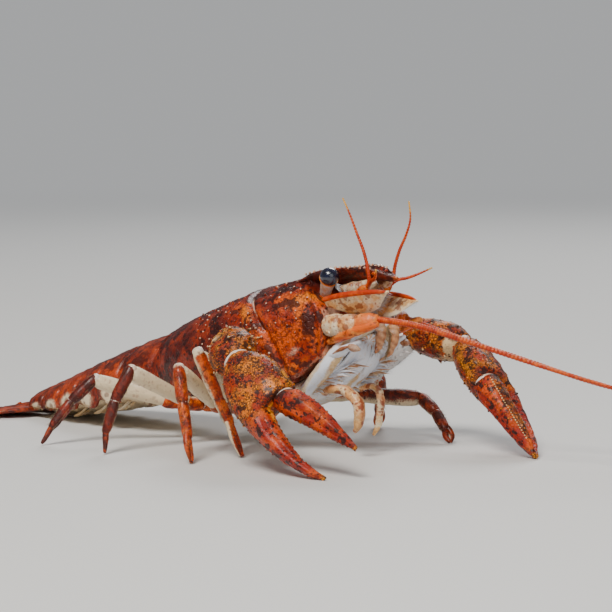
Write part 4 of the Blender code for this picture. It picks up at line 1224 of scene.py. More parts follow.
@dataclass
class Underside:
    """The pale plate under the thorax, with a furrow between the bases of its legs."""

    palette: Palette
    steps: int = 60
    count: int = 22
    leg_pitch: float = 4.45

    def build(self) -> None:
        """Builds the block."""
        piece = Piece("underside_block", Slot.UNDERSIDE)
        rings = []
        for index in range(self.steps + 1):
            s = UNDERSIDE[0][0] + (UNDERSIDE[-1][0] - UNDERSIDE[0][0]) * index / self.steps
            top_half, low_half, low = smooth(UNDERSIDE, s)
            roof = smooth(CARAPACE, s)[3] + 0.4
            lobe = 0.35 * sin(tau * (s - 2.0) / self.leg_pitch)
            outline = ((0.0, roof), (top_half * 0.6, roof), (top_half, roof - 1.2),
                       (low_half + 1.4 + lobe, low + 1.1), (low_half + lobe, low + 0.1),
                       (low_half * 0.4, low), (0.0, low + 0.6))
            rings.append([body(s, y, h) for y, h in mirrored(outline, self.count)])
        piece.skin(domed(rings, 0.6, 0.8), {PALE: 0.4}, rough=((0.12, 1.4),))
        piece.finish([self.palette.cream], "thorax_underside")


@dataclass
class Tail:
    """Six overlapping tail plates with side lobes, and the paired swimming legs under them."""

    palette: Palette
    steps: int = 30
    count: int = 60
    seed: int = 11

    def rows(self, index: int) -> list[Ring]:
        """The rings of one plate, whose hind edge stands over the next."""
        front, rear = TAIL[index], TAIL[index + 1]
        # Share of the plate, how far it stands out, and how deep its side lobes hang.
        shape: Table = ((0.0, -0.9, 0.1), (0.12, -0.25, 0.3), (0.38, 0.1, 1.0), (0.72, 0.25, 0.9),
                        (1.0, 0.15, 0.25))
        rings = []
        for share in shares(self.steps):
            swell, hang = smooth(shape, share)
            x, top, half, height, depth = (a + (b - a) * share for a, b in zip(front, rear))
            x -= 0.4 * climb(share, 0.9, 0.1)
            swell -= 0.22 * hump(share, 0.3, 0.06)
            half, top = half + swell, top + swell
            waist, low = top - height * 0.62, top - height + 0.6
            tip = max(waist - height * 0.1 - depth * hang, low - 0.4)
            arc = [(half * sin(a), waist + (top - waist) * cos(a)) for a in (0.0, 0.3, 0.6, 0.9, 1.2, 1.5)]
            outline = arc + [(half, (waist + tip) / 2), (half * 0.97, tip), (half - 0.9, tip + 0.1),
                             (half - 1.7, waist - height * 0.12), (half * 0.45, low), (0.0, low)]
            rings.append([Vector((x, y, z)) for y, z in mirrored(outline, self.count)])
        return rings

    def build(self) -> None:
        """Builds the plates and the swimming legs."""
        chance = random.Random(self.seed)
        for index in range(len(TAIL) - 1):
            piece = Piece(f"tail_plate_{index + 1}", Slot.TAIL)

            def pale(v: float, u: float) -> float:
                """A pale blotch on each side lobe."""
                round_from_top = min(u, 1 - u) * 2
                lobe = hump(round_from_top, 0.55, 0.1) * hump(v, 0.62, 0.25)
                return 0.9 * lobe + (0.8 if round_from_top > 0.72 else 0.0)

            def dark(v: float, u: float) -> float:
                """Dark over the back, darkest along the hind edge."""
                round_from_top = min(u, 1 - u) * 2
                return 0.5 * sink(round_from_top, 0.4, 0.4) + 0.35 * hump(v, 0.96, 0.06)

            surface = piece.skin(domed(self.rows(index), 0.1, 0.1, 2), {PALE: pale, DARK: dark},
                                 rough=((0.1, 1.6), (0.05, 0.6)))
            for sign in (-1, 1):
                row = [surface.point(share, 0.5 + sign * 0.2) for share in (0.3, 0.45, 0.6, 0.75, 0.9)]
                piece.fringe(row, Vector((-0.3, sign * 0.1, -1.0)), 0.9, 26, chance, 0.2)
            piece.finish([self.palette.tail, self.palette.hair], f"tail_segment_{index + 1}")
        piece = Piece("swimming_legs", Slot.UNDERSIDE)
        for index in range(1, 5):
            x, top, half, height, _ = ((a + b) / 2 for a, b in zip(TAIL[index], TAIL[index + 1]))
            low = top - height + 0.6
            for sign in (-1, 1):
                for reach, share in ((3.0, 0.42), (2.6, 0.58)):
                    root = Vector((x, sign * half * share, low + 0.3))
                    tip = root + Vector((-reach, sign * 0.4, -min(low - 0.6, 1.6)))
                    piece.skin(tube([root, root.lerp(tip, 0.5) + Vector((0, 0, -0.3)), tip],
                                    ((0.0, 0.35), (0.3, 0.5), (0.7, 0.7), (1.0, 0.3)), LEFTWARD, 12, 10, 0.4))
                    piece.fringe([root.lerp(tip, 0.6), tip], tip - root, 1.0, 8, chance, 0.3)
        piece.finish([self.palette.cream, self.palette.hair])


@dataclass
class TailFan:
    """The middle plate and the four fins of the tail fan, ridged and fringed."""

    palette: Palette
    seed: int = 13
    steps: int = 44
    sides: int = 60
    side_hairs: int = 36
    end_hairs: int = 34
    hair_length: float = 0.9

    def fin(self, piece: Piece, root: Vector, tip: Vector, side: Vector, root_half: float, mid_half: float,
            thick: float, chance: random.Random) -> None:
        """Adds one fin with a middle ridge, a cross line and a fringe of hairs.

        Args:
            piece: What it belongs to.
            root: Where it starts.
            tip: Where it ends.
            side: The rough direction across it.
            root_half: Its half width at the root.
            mid_half: Its greatest half width.
            thick: Its thickness.
            chance: Where its differences come from.
        """
        _, out, up = axes(tip - root, side)
        table: Table = ((0.0, root_half / mid_half, 1.0), (0.18, 0.8, 1.0), (0.42, 1.0, 0.9),
                        (0.7, 0.98, 0.8), (0.88, 0.8, 0.7), (0.97, 0.52, 0.6), (1.0, 0.3, 0.5))
        rings = []
        for share in shares(self.steps):
            width, height = smooth(table, share)
            centre = root.lerp(tip, share)
            half, high = mid_half * width, thick / 2 * height
            rise = 0.35 * (1 - share) - 0.12 * hump(share, 0.66, 0.02)
            outline = [(half, 0.0), (half * 0.9, high * 0.7), (half * 0.55, high * 0.9),
                       (half * 0.2, high), (0.0, high + rise), (-half * 0.2, high),
                       (-half * 0.55, high * 0.9), (-half * 0.9, high * 0.7), (-half, 0.0),
                       (-half * 0.85, -high * 0.8), (0.0, -high), (half * 0.85, -high * 0.8)]
            points = [Vector((v, w, 0.0)) for v, w in outline + outline[:1]]
            ring = []
            for k in range(self.sides):
                point = on_curve(points, k / self.sides)
                ring.append(centre + out * point.x + up * point.y)
            rings.append(ring)
        surface = piece.skin(domed(rings, 0.3, 0.35), {
            DARK: lambda v, u: 0.45 * sink(v, 0.6, 0.6) + 0.5 * hump(v, 0.66, 0.015),
            BLUSH: lambda v, u: climb(v, 0.55, 0.4) * 0.6,
            PALE: lambda v, u: 0.5 * climb(v, 0.93, 0.07),
        }, rough=((0.08, 1.2),))
        along = (tip - root).normalized()
        for start, end, turn in ((0.45, 0.97, 0.02), (0.45, 0.97, 0.65)):
            row = surface.row(turn, start, end - start, 6)
            lean = out * (1 if turn < 0.3 else -1)
            piece.fringe(row, along + lean * 0.9, self.hair_length, self.side_hairs, chance, 0.12)
        row = [surface.point(0.965, turn) for turn in (0.02, 0.2, 0.33, 0.5, 0.65)]
        piece.fringe(row, along, self.hair_length, self.end_hairs, chance, 0.15)

    def build(self) -> None:
        """Builds the five plates."""
        chance = random.Random(self.seed)
        end_x, end_top = TAIL[-1][0], TAIL[-1][1]
        materials = [self.palette.tail, self.palette.hair]
        piece = Piece("fan_middle", Slot.TAIL)
        root = Vector((end_x + 0.6, 0.0, end_top * 0.5 + 0.2))
        tip = Vector((end_x - 11.0, 0.0, FIN_LEVEL))
        self.fin(piece, root, tip, -LEFTWARD, 3.9, 4.3, 1.2, chance)
        for sign in (-1, 1):
            piece.spine(Vector((end_x - 7.2, sign * 3.9, 1.5)), Vector((-1.0, sign * 0.3, 0.0)), 0.8, 0.28)
        piece.finish(materials, "tail_middle_plate")
        for side in Side:
            piece = Piece(f"fan_{side.word}", Slot.TAIL)
            sign = side.value
            root = Vector((end_x + 0.4, sign * 5.5, 1.7))
            tip = Vector((end_x - 10.4, sign * 9.6, FIN_LEVEL))
            self.fin(piece, root, tip, -LEFTWARD, 1.2, 3.1, 1.05, chance)
            root += Vector((0.1, sign * 0.6, -0.1))
            tip = Vector((end_x - 8.5, sign * 15.3, FIN_LEVEL))
            self.fin(piece, root, tip, -LEFTWARD, 1.2, 3.3, 1.05, chance)
            piece.finish(materials, f"tail_fin_{side.word}")


@dataclass
class Eye:
    """A round wet eye on its short pale stalk."""

    palette: Palette
    side: Side
    radius: float = 1.55
    steps: int = 24
    ring_radius: float = 1.36
    ring_width: float = 0.23
    lashes: int = 14
    lash_length: float = 3.0
    seed: int = 13

    def build(self) -> None:
        """Builds the eye and its stalk."""
        sign = self.side.value
        root, centre = body(34.6, sign * 2.9, -2.4), body(39.2, sign * 5.9, 0.2)
        forward, out, up = axes(centre - root, UP)
        stalk = Piece(f"stalk_{self.side.word}", Slot.UNDERSIDE)
        reach = (centre - root).length
        route = [root, root + forward * reach * 0.5, centre - forward * 0.7]
        widths = ((0.0, 0.8), (0.3, 0.95), (0.7, 1.15), (0.9, 1.34), (1.0, 1.42))
        stalk.skin(tube(route, widths, up, 24, 28), {
            PALE: lambda v, u: 0.42 + 0.2 * climb(v, 0.85, 0.1),
            BLUSH: lambda v, u: 0.3 * sink(v, 0.5, 0.3),
            GLOW: lambda v, u: 1.6 * wrap(u, 0.5 + 0.16 * -sign, 0.11) * hump(v, 0.88, 0.12),
        }, rough=((0.05, 0.6),))
        start = centre + Vector((1.2, -sign * 0.3, -1.0))
        row = [start, start + Vector((-0.2, -sign * 0.2, -0.8))]
        way, chance = Vector((0.9, sign * 0.05, -0.45)), random.Random(self.seed)
        stalk.fringe(row, way, self.lash_length, self.lashes, chance, 0.2, radius=0.07)
        ring = [centre + forward * -0.45 + (out * cos(a) + up * sin(a)) * self.ring_radius
                for a in (tau * k / 12 for k in range(13))]
        widths = ((0.0, self.ring_width), (1.0, self.ring_width))
        stalk.skin(tube(ring, widths, forward, 48, 8), {GLOW: 0.75, BLUSH: 0.3})
        stalk.finish([self.palette.cream, self.palette.pale_hair], f"eyestalk_{self.side.word}")
        ball = Piece(f"eyeball_{self.side.word}", Slot.EYE)
        rings = []
        for index in range(self.steps + 1):
            angle = pi * index / self.steps
            size = self.radius * sin(angle)
            middle = centre - forward * self.radius * cos(angle)
            rings.append(oval(middle, out, up, size, size, size, sides=36))
        ball.skin(rings, {PALE: lambda v, u: hump(v, 0.4, 0.03) * 0.9})
        ball.finish([self.palette.eye], f"eye_{self.side.word}")


@dataclass
class ShortFeelers:
    """The base of a short feeler with its two ringed threads."""

    palette: Palette
    side: Side
    seed: int = 17
    pitch: float = 0.42
    pad: tuple[tuple[float, float, float], ...] = ((38.6, 2.4, -2.1), (41.6, 2.3, -2.3), (44.8, 1.9, -1.9))

    def build(self) -> None:
        """Builds the base's joints and the threads."""
        sign = self.side.value
        piece = Piece(f"short_feeler_pair_{self.side.word}", Slot.FEELER)
        joints = (
            ((35.0, 1.75, -3.95), (37.2, 1.95, -3.85), (39.6, 2.15, -3.6),
             ((0.0, 0.95), (0.3, 1.12), (0.75, 1.08), (1.0, 0.9))),
            ((39.4, 2.1, -3.65), (40.6, 2.35, -3.45), (42.0, 2.6, -3.2),
             ((0.0, 0.8), (0.3, 1.0), (0.75, 0.98), (1.0, 0.8))),
            ((41.8, 2.55, -3.2), (42.9, 2.7, -2.9), (43.9, 2.8, -2.55),
             ((0.0, 0.7), (0.4, 0.84), (0.8, 0.78), (1.0, 0.6))),
        )
        for index, (start, middle, end, widths) in enumerate(joints):
            route = [body(s, sign * y, h) for s, y, h in (start, middle, end)]
            surface = piece.skin(tube(route, widths, LEFTWARD, 16, 18), {
                BLUSH: 0.7, PALE: lambda v, u, index=index: (0.75, 0.35, 0.2)[index] * wrap(u, 0.25, 0.3),
            })
            chance = random.Random(self.seed + index)
            piece.fringe([surface.point(v, 0.5 + 0.4 * sign) for v in (0.2, 0.4, 0.6, 0.8)],
                         Vector((0.7, sign * 0.7, 0.3)), 0.8, 12, chance, 0.3, radius=0.03)
        pad = [body(s, sign * y, h) for s, y, h in self.pad]
        rings = tube(pad, ((0.0, 0.9), (0.4, 1.15), (1.0, 0.7)), LEFTWARD, 18, 20)
        surface = piece.skin(domed(rings, 0.3, 0.4),
                             {PALE: 0.3, DARK: lambda v, u: 0.5 + 0.3 * sin(v * 23.0 + u * 9.0)},
                             2, ((0.16, 0.8),))
        for turn in (0.5, 0.6, 0.4):
            row = [surface.point(v, turn) for v in (0.1, 0.35, 0.6, 0.9)]
            chance = random.Random(self.seed)
            piece.fringe(row, Vector((0.5, sign * 0.6, -0.5)), 1.3, 16, chance, 0.35, radius=0.05)
        for number, route in enumerate(THREADS[self.side]):
            start, out, up = THREAD_START
            path = [body(start, sign * out, up)] + [Vector(point) for point in route]
            length = sum((b - a).length for a, b in zip(path, path[1:]))
            count = round(length / self.pitch)
            piece.skin(
                tube(path, ((0.0, 0.4), (0.15, 0.33), (0.6, 0.24), (1.0, 0.12)), LEFTWARD, count * 4, 10,
                     swell=lambda v, u, count=count: 0.035 * cos(tau * v * count)),
                {DARK: lambda v, u, count=count: 0.45 * max(0.0, -cos(tau * v * count)),
                 GLOW: lambda v, u: 0.8 * climb(v, 0.7, 0.3)},
            )
        materials = [self.palette.feeler, self.palette.pale_hair, self.palette.joint]
        piece.finish(materials, f"short_feeler_{self.side.word}")


@dataclass
class FeelerBase:
    """The jointed base of a long feeler, with its pointed scale."""

    palette: Palette
    side: Side
    seed: int = 23
    scale_steps: int = 36
    scale_hairs: int = 60

    def build(self) -> None:
        """Builds the joints, then the scale."""
        sign = self.side.value
        end = Vector(FEELERS[self.side][0])
        start = body(37.2, sign * 6.0, -7.4)
        way = end - start
        piece = Piece(f"feeler_joints_{self.side.word}", Slot.FEELER)
        joints = (
            (-0.06, 0.36, ((0.0, 1.5), (0.4, 1.85), (0.8, 1.85), (1.0, 1.5)), 0.55, 0.1),
            (0.30, 0.66, ((0.0, 1.3), (0.4, 1.7), (0.8, 1.6), (1.0, 1.3)), 0.2, 0.3),
            (0.60, 0.98, ((0.0, 1.05), (0.35, 1.4), (0.8, 1.3), (1.0, 0.95)), 0.0, 0.9),
        )
        bow = Vector((0, sign * 0.5, -0.3))
        for low, high, widths, pale, blush in joints:
            route = [start + way * (low + (high - low) * k / 2) + bow * sin(pi * (low + (high - low) * k / 2))
                     for k in range(3)]
            piece.skin(tube(route, widths, LEFTWARD, 22, 30), {
                PALE: lambda v, u, pale=pale: pale * (0.35 + 0.65 * ease((sin(tau * (u + 0.5)) + 1) / 2)),
                BLUSH: blush,
                DARK: lambda v, u: 0.5 * hump(v, 0.9, 0.04) + 0.4 * hump(v, 0.2, 0.05) * wrap(u, 0.6, 0.2),
            }, rough=((0.1, 0.8),))
            ring_place = route[0]
            piece.skin(tube([ring_place - way.normalized() * 0.3, ring_place + way.normalized() * 0.35],
                            ((0.0, widths[0][1] * 0.97), (1.0, widths[0][1] * 0.97)), LEFTWARD, 4, 24),
                       {PALE: 1.0}, material=1)
        root = start + way * 0.16 + Vector((0, sign * 1.7, -1.0))
        piece.spine(root, Vector((1.0, sign * 0.7, -0.3)), 1.0, 0.4)
        root = start + way * 0.5 + Vector((0, sign * 1.4, -1.1))
        piece.spine(root, Vector((1.0, sign * 0.6, -0.4)), 0.8, 0.35)
        piece.skin(tube([end - way.normalized() * 0.5, end + way.normalized() * 0.1],
                        ((0.0, 0.95), (1.0, 0.85)), LEFTWARD, 6, 20), {BLUSH: 1.0, DARK: 0.15})
        piece.finish([self.palette.joint, self.palette.membrane], f"feeler_base_{self.side.word}")
        self.build_scale()

    def build_scale(self) -> None:
        """Builds the flat scale: a stout outer rib with a spine, a thin blade and its fringe."""
        sign = self.side.value
        chance = random.Random(self.seed)
        piece = Piece(f"feeler_blade_{self.side.word}", Slot.FEELER)
        root, tip = body(37.8, sign * 6.2, -3.6), body(*SCALE_TIPS[self.side])
        _, out, up = axes(tip - root, (0.0, -sign * 0.62, -0.78))
        table: Table = ((0.0, 1.3, 0.6), (0.25, 3.1, 0.8), (0.5, 3.6, 0.7), (0.72, 2.9, 0.5),
                        (0.86, 1.4, 0.4), (1.0, 0.15, 0.15))
        rings = []
        for share in shares(self.scale_steps):
            inner, outer = smooth(table, share)
            rings.append(oval(root.lerp(tip, share), out, up, inner, outer, 0.32 - 0.12 * share, sides=28))
        surface = piece.skin(domed(rings, 0.2, 0.1), {
            PALE: lambda v, u: 0.8 * ease((cos(tau * u) - 0.35) / 0.5) * climb(v, 0.3, 0.3),
        }, rough=((0.05, 0.7),))
        rib = [root - out * 0.5, root.lerp(tip, 0.3) - out * 0.8, root.lerp(tip, 0.7) - out * 0.55, tip]
        piece.skin(tube(rib, ((0.0, 0.4), (0.4, 0.46), (0.8, 0.34), (1.0, 0.1)), up, 30, 14),
                   {GLOW: lambda v, u: 0.7 * climb(v, 0.95, 0.05)}, material=1)
        row = surface.row(0.0, 0.2, 0.72, 8)
        ahead = (tip - root).normalized()
        piece.fringe(row, ahead * 0.9 + out, 1.3, self.scale_hairs, chance, 0.12, material=2, radius=0.035)
        materials = [self.palette.joint, self.palette.feeler, self.palette.pale_hair]
        piece.finish(materials, f"feeler_scale_{self.side.word}")


@dataclass
class LongFeeler:
    """A long ringed feeler."""

    palette: Palette
    side: Side
    pitch: float = 0.62
    start_radius: float = 0.52
    tip_radius: float = 0.2

    def build(self) -> None:
        """Builds the feeler over its lengths of solid."""
        path = [Vector(point) for point in FEELERS[self.side]]
        path[0] = path[0] - (path[1] - path[0]).normalized() * 0.3
        length = sum((b - a).length for a, b in zip(path, path[1:]))
        count = round(length / self.pitch)
        piece = Piece(f"whip_{self.side.word}", Slot.FEELER)
        widths = ((0.0, self.start_radius * 1.1), (0.03, self.start_radius), (0.5, 0.34),
                  (1.0, self.tip_radius))
        piece.skin(
            tube(path, widths, LEFTWARD, count * 4, 12,
                 swell=lambda v, u: 0.05 * (1 - 0.5 * v) * cos(tau * v * count)),
            {DARK: lambda v, u: 0.6 * max(0.0, -cos(tau * v * count)) + 0.15 * sin(v * 90.0),
             BLUSH: lambda v, u: 0.4 * wrap(u, 0.25, 0.2)},
        )
        piece.finish([self.palette.feeler], *(f"feeler_{self.side.word}_{number}" for number in (1, 2, 3)))


@dataclass
class Mouth:
    """The mouthparts under the head and the two leg-like jaws in front of them."""

    palette: Palette
    seed: int = 29
    strands: int = 44
    leaves: int = 5
    steps: int = 40

    def build(self) -> None:
        """Builds the block with its leaves, then the jaws."""
        chance = random.Random(self.seed)
        piece = Piece("mouth_block", Slot.UNDERSIDE)
        table: Table = ((29.0, 3.4, -16.0, -18.0), (32.0, 4.6, -15.2, -18.0), (35.0, 4.8, -12.8, -16.8),
                        (37.6, 4.4, -10.4, -15.0), (39.2, 3.2, -9.6, -13.2))
        up = body(0, 0, 1) - body(0, 0, 0)
        rings = []
        for index in range(self.steps + 1):
            s = 29.0 + 10.2 * index / self.steps
            half, top, low = smooth(table, s)
            middle = body(s, 0.0, (top + low) / 2)
            rings.append(oval(middle, LEFTWARD, up, half, half, (top - low) / 2, sides=40, square=0.85))
        piece.skin(domed(rings, 0.6, 1.0), {
            PALE: lambda v, u: 0.35 + 0.4 * sin(u * 70.0 + 5.0 * v),
            BLUSH: lambda v, u: 0.4 * climb(v, 0.7, 0.3),
            DARK: lambda v, u: 0.25 * max(0.0, sin(u * 70.0 + 5.0 * v + 2.4)) ** 3,
        }, rough=((0.25, 1.6), (0.1, 0.6)))
        for sign in (-1, 1):
            for layer in range(self.leaves):
                spread = 0.8 + layer * 0.75
                route = [body(31.0 + layer * 0.6, sign * (spread + 1.2), -16.9 + layer * 0.35),
                         body(35.2 + layer * 0.5, sign * (spread + 0.9), -16.4 + layer * 0.5),
                         body(38.9 + layer * 0.25, sign * spread, -14.2 + layer * 0.5),
                         body(40.6 - layer * 0.15, sign * spread * 0.72, -11.6 + layer * 0.3)]
                widths = ((0.0, 0.5), (0.3, 0.8), (0.7, 0.75), (1.0, 0.3))
                surface = piece.skin(tube(route, widths, LEFTWARD, 20, 14, 0.45),
                                     {PALE: 0.85, BLUSH: lambda v, u: 0.8 * climb(v, 0.75, 0.25),
                                      DARK: lambda v, u: 0.2 * wrap(u, 0.0, 0.15)})
                piece.fringe([surface.point(v, 0.25) for v in (0.45, 0.6, 0.75, 0.9)],
                             Vector((0.9, -sign * 0.2, 0.1)), 0.9, 14, chance, 0.3)
        for sign in (-1, 1):
            self.add_cheek(piece, sign, chance)
        self.add_limbs(piece, random.Random(self.seed + 1))
        piece.finish([self.palette.cream, self.palette.pale_hair, self.palette.joint], "mouthparts")
        for side in Side:
            self.build_jaw(side, chance)

    def add_cheek(self, piece: Piece, sign: int, chance: random.Random) -> None:
        """Adds one side's salmon bar, its blue-white leaf with dark streaks, and the gill cover's strands."""
        bars = (
            (((38.4, 6.0, 18.6), (43.2, 6.2, 20.4), (47.6, 5.2, 21.9)),
             ((0.0, 0.7), (0.5, 1.15), (1.0, 0.75)), 2, {BLUSH: 1.0, DARK: 0.0}),
            (((36.8, 6.3, 15.3), (40.9, 6.3, 17.1), (44.2, 5.5, 18.9)),
             ((0.0, 0.5), (0.5, 0.95), (1.0, 0.4)), 0, {PALE: 1.0}),
            (((39.3, 7.0, 16.3), (41.4, 7.0, 17.5), (43.2, 6.5, 18.2)),
             ((0.0, 0.15), (0.6, 0.4), (1.0, 0.2)), 0, {DARK: 1.0}),
            (((43.0, 6.2, 18.1), (43.8, 6.2, 17.9), (44.6, 5.9, 17.7)),
             ((0.0, 0.6), (0.5, 0.8), (1.0, 0.4)), 0, {DARK: 0.9}),
        )
        for places, widths, material, marks in bars:
            route = [Vector((x, sign * y, z)) for x, y, z in places]
            piece.skin(domed(tube(route, widths, LEFTWARD, 20, 16, 0.8), 0.3, 0.3), marks, material,
                       rough=((0.08, 0.8),))
        for index in range(self.strands):
            share = (index + 0.5) / self.strands
            root = body(29.5 + 9.0 * share, sign * (3.4 + 1.6 * sin(3.0 * share)), -17.6 + 3.4 * share)
            ahead = Vector((chance.uniform(1.6, 3.4), -sign * chance.uniform(-0.3, 1.2),
                            chance.uniform(0.4, 2.2)))
            droop = Vector((0.8, 0.0, -chance.uniform(0.4, 1.2)))
            route = [root, root + ahead * 0.5 + droop * 0.4, root + ahead + droop]
            tone = index % 3
            piece.skin(tube(route, ((0.0, 0.3), (0.4, 0.5), (1.0, 0.08)), LEFTWARD, 10, 10, 0.4), {
                PALE: (0.95, 0.1, 0.5)[tone], BLUSH: (0.0, 0.3, 0.0)[tone],
                DARK: lambda v, u: 0.6 * wrap(u, 0.5, 0.08) * climb(v, 0.2, 0.3),
            })

    def add_limbs(self, piece: Piece, chance: random.Random) -> None:
        """Adds the two small arched limbs that hang under the mouth."""
        limbs = (
            (((34.6, -3.2, 9.8), (37.6, -4.6, 10.7), (40.8, -5.0, 10.7), (43.0, -5.2, 9.7)),
             ((0.0, 0.7), (0.4, 0.85), (1.0, 0.95)), 0.7),
            (((42.6, -5.2, 10.1), (43.8, -5.2, 8.9), (44.2, -5.3, 7.4), (43.8, -5.2, 5.4), (43.0, -5.0, 4.4)),
             ((0.0, 0.95), (0.35, 1.05), (0.7, 0.85), (1.0, 0.45)), 0.5),
            (((38.0, 2.0, 10.2), (40.0, 2.0, 10.8), (41.6, 1.8, 10.5), (42.5, 1.6, 9.8)),
             ((0.0, 0.5), (1.0, 0.65)), 0.5),
            (((42.2, 1.6, 10.1), (42.7, 1.6, 8.6), (42.5, 1.6, 6.4)),
             ((0.0, 0.6), (0.5, 0.72), (1.0, 0.6)), 0.9),
            (((42.5, 1.6, 6.7), (42.2, 1.6, 4.8), (41.2, 1.6, 3.0)),
             ((0.0, 0.55), (0.5, 0.6), (1.0, 0.3)), 0.0),
        )
        for places, widths, marking in limbs:
            route = [Vector(place) for place in places]
            surface = piece.skin(tube(route, widths, LEFTWARD, 20, 18, 0.9), {
                BLUSH: lambda v, u, marking=marking: 0.7 * marking * (0.5 + 0.5 * sin(v * 11.0 + u * 9.0)),
                DARK: lambda v, u, marking=marking: 0.8 * marking * wrap(u, 0.28, 0.05)
                + 0.35 * marking * max(0.0, sin(v * 21.0 + u * 14.0)),
            }, 2, rough=((0.12, 0.9),))
            row = surface.row(0.75, 0.1, 0.8)
            piece.fringe(row, route[-1] - route[0] + Vector((-0.6, 0.0, -0.8)), 0.9, 16, chance, 0.3)

    def build_jaw(self, side: Side, chance: random.Random) -> None:
        """Builds one leg-like jaw in its five joints.

        Args:
            side: The side that it is on.
            chance: Where its differences come from.
        """
        sign = side.value
        piece = Piece(f"jaw_{side.word}", Slot.LEG)
        stops = [body(s, sign * y, h) for s, y, h in JAW_START]
        stops += [Vector((x, sign * y, z - JAW_DROP[side])) for x, y, z in JAW_JOINTS]
        joints = (
            (stops[0:3], ((0.0, 1.1), (0.3, 1.35), (0.7, 1.35), (1.0, 1.1)), 0.9, 0.0),
            (stops[2:4], ((0.0, 1.05), (0.3, 1.25), (0.8, 1.15), (1.0, 0.85)), 0.6, 0.0),
            (stops[3:5], ((0.0, 0.8), (0.5, 0.98), (1.0, 0.8)), 0.3, 0.4),
            (stops[4:6], ((0.0, 0.75), (0.5, 0.86), (1.0, 0.65)), 0.1, 0.45),
            (stops[5:7], ((0.0, 0.6), (0.5, 0.55), (1.0, 0.22)), 0.1, 0.5),
        )
        for index, (route, widths, pale, dark) in enumerate(joints):
            surface = piece.skin(tube(route, widths, LEFTWARD, 20, 20, 1.0), {
                PALE: lambda v, u, pale=pale: pale * (0.5 + 0.5 * sin(v * 8.0 + u * 19.0)),
                DARK: lambda v, u, dark=dark: dark * (0.8 + 0.6 * sin(v * 17.0 + u * 12.0))
                + 0.45 * wrap(u, 0.62, 0.04) * (0.5 + 0.5 * sin(v * 40.0)),
                BLUSH: dark,
            }, rough=((0.14, 0.9),))
            inner = 0.5 if sign > 0 else 0.0
            row = surface.row(0.75, 0.05, 0.9)
            way = route[-1] - route[0]
            lean = way.normalized() + Vector((0.1, sign * 0.9, -0.5))
            piece.fringe(row, lean, 1.6, 40, chance, 0.35, radius=0.05, material=2)
            row = surface.row(inner, 0.15, 0.7)
            lean = Vector((0.2, -sign * 1.0, -0.5)) + way.normalized() * 0.6
            piece.fringe(row, lean, 1.5 if index else 1.0, 34, chance, 0.3)
            row = surface.row(0.75, 0.15, 0.7)
            piece.fringe(row, Vector((0.3, 0.0, -0.6)) + way.normalized() * 0.8, 1.3, 24, chance, 0.3)
        materials = [self.palette.cream, self.palette.hair, self.palette.pale_hair]
        piece.finish(materials, f"leg_jaw_{side.word}")


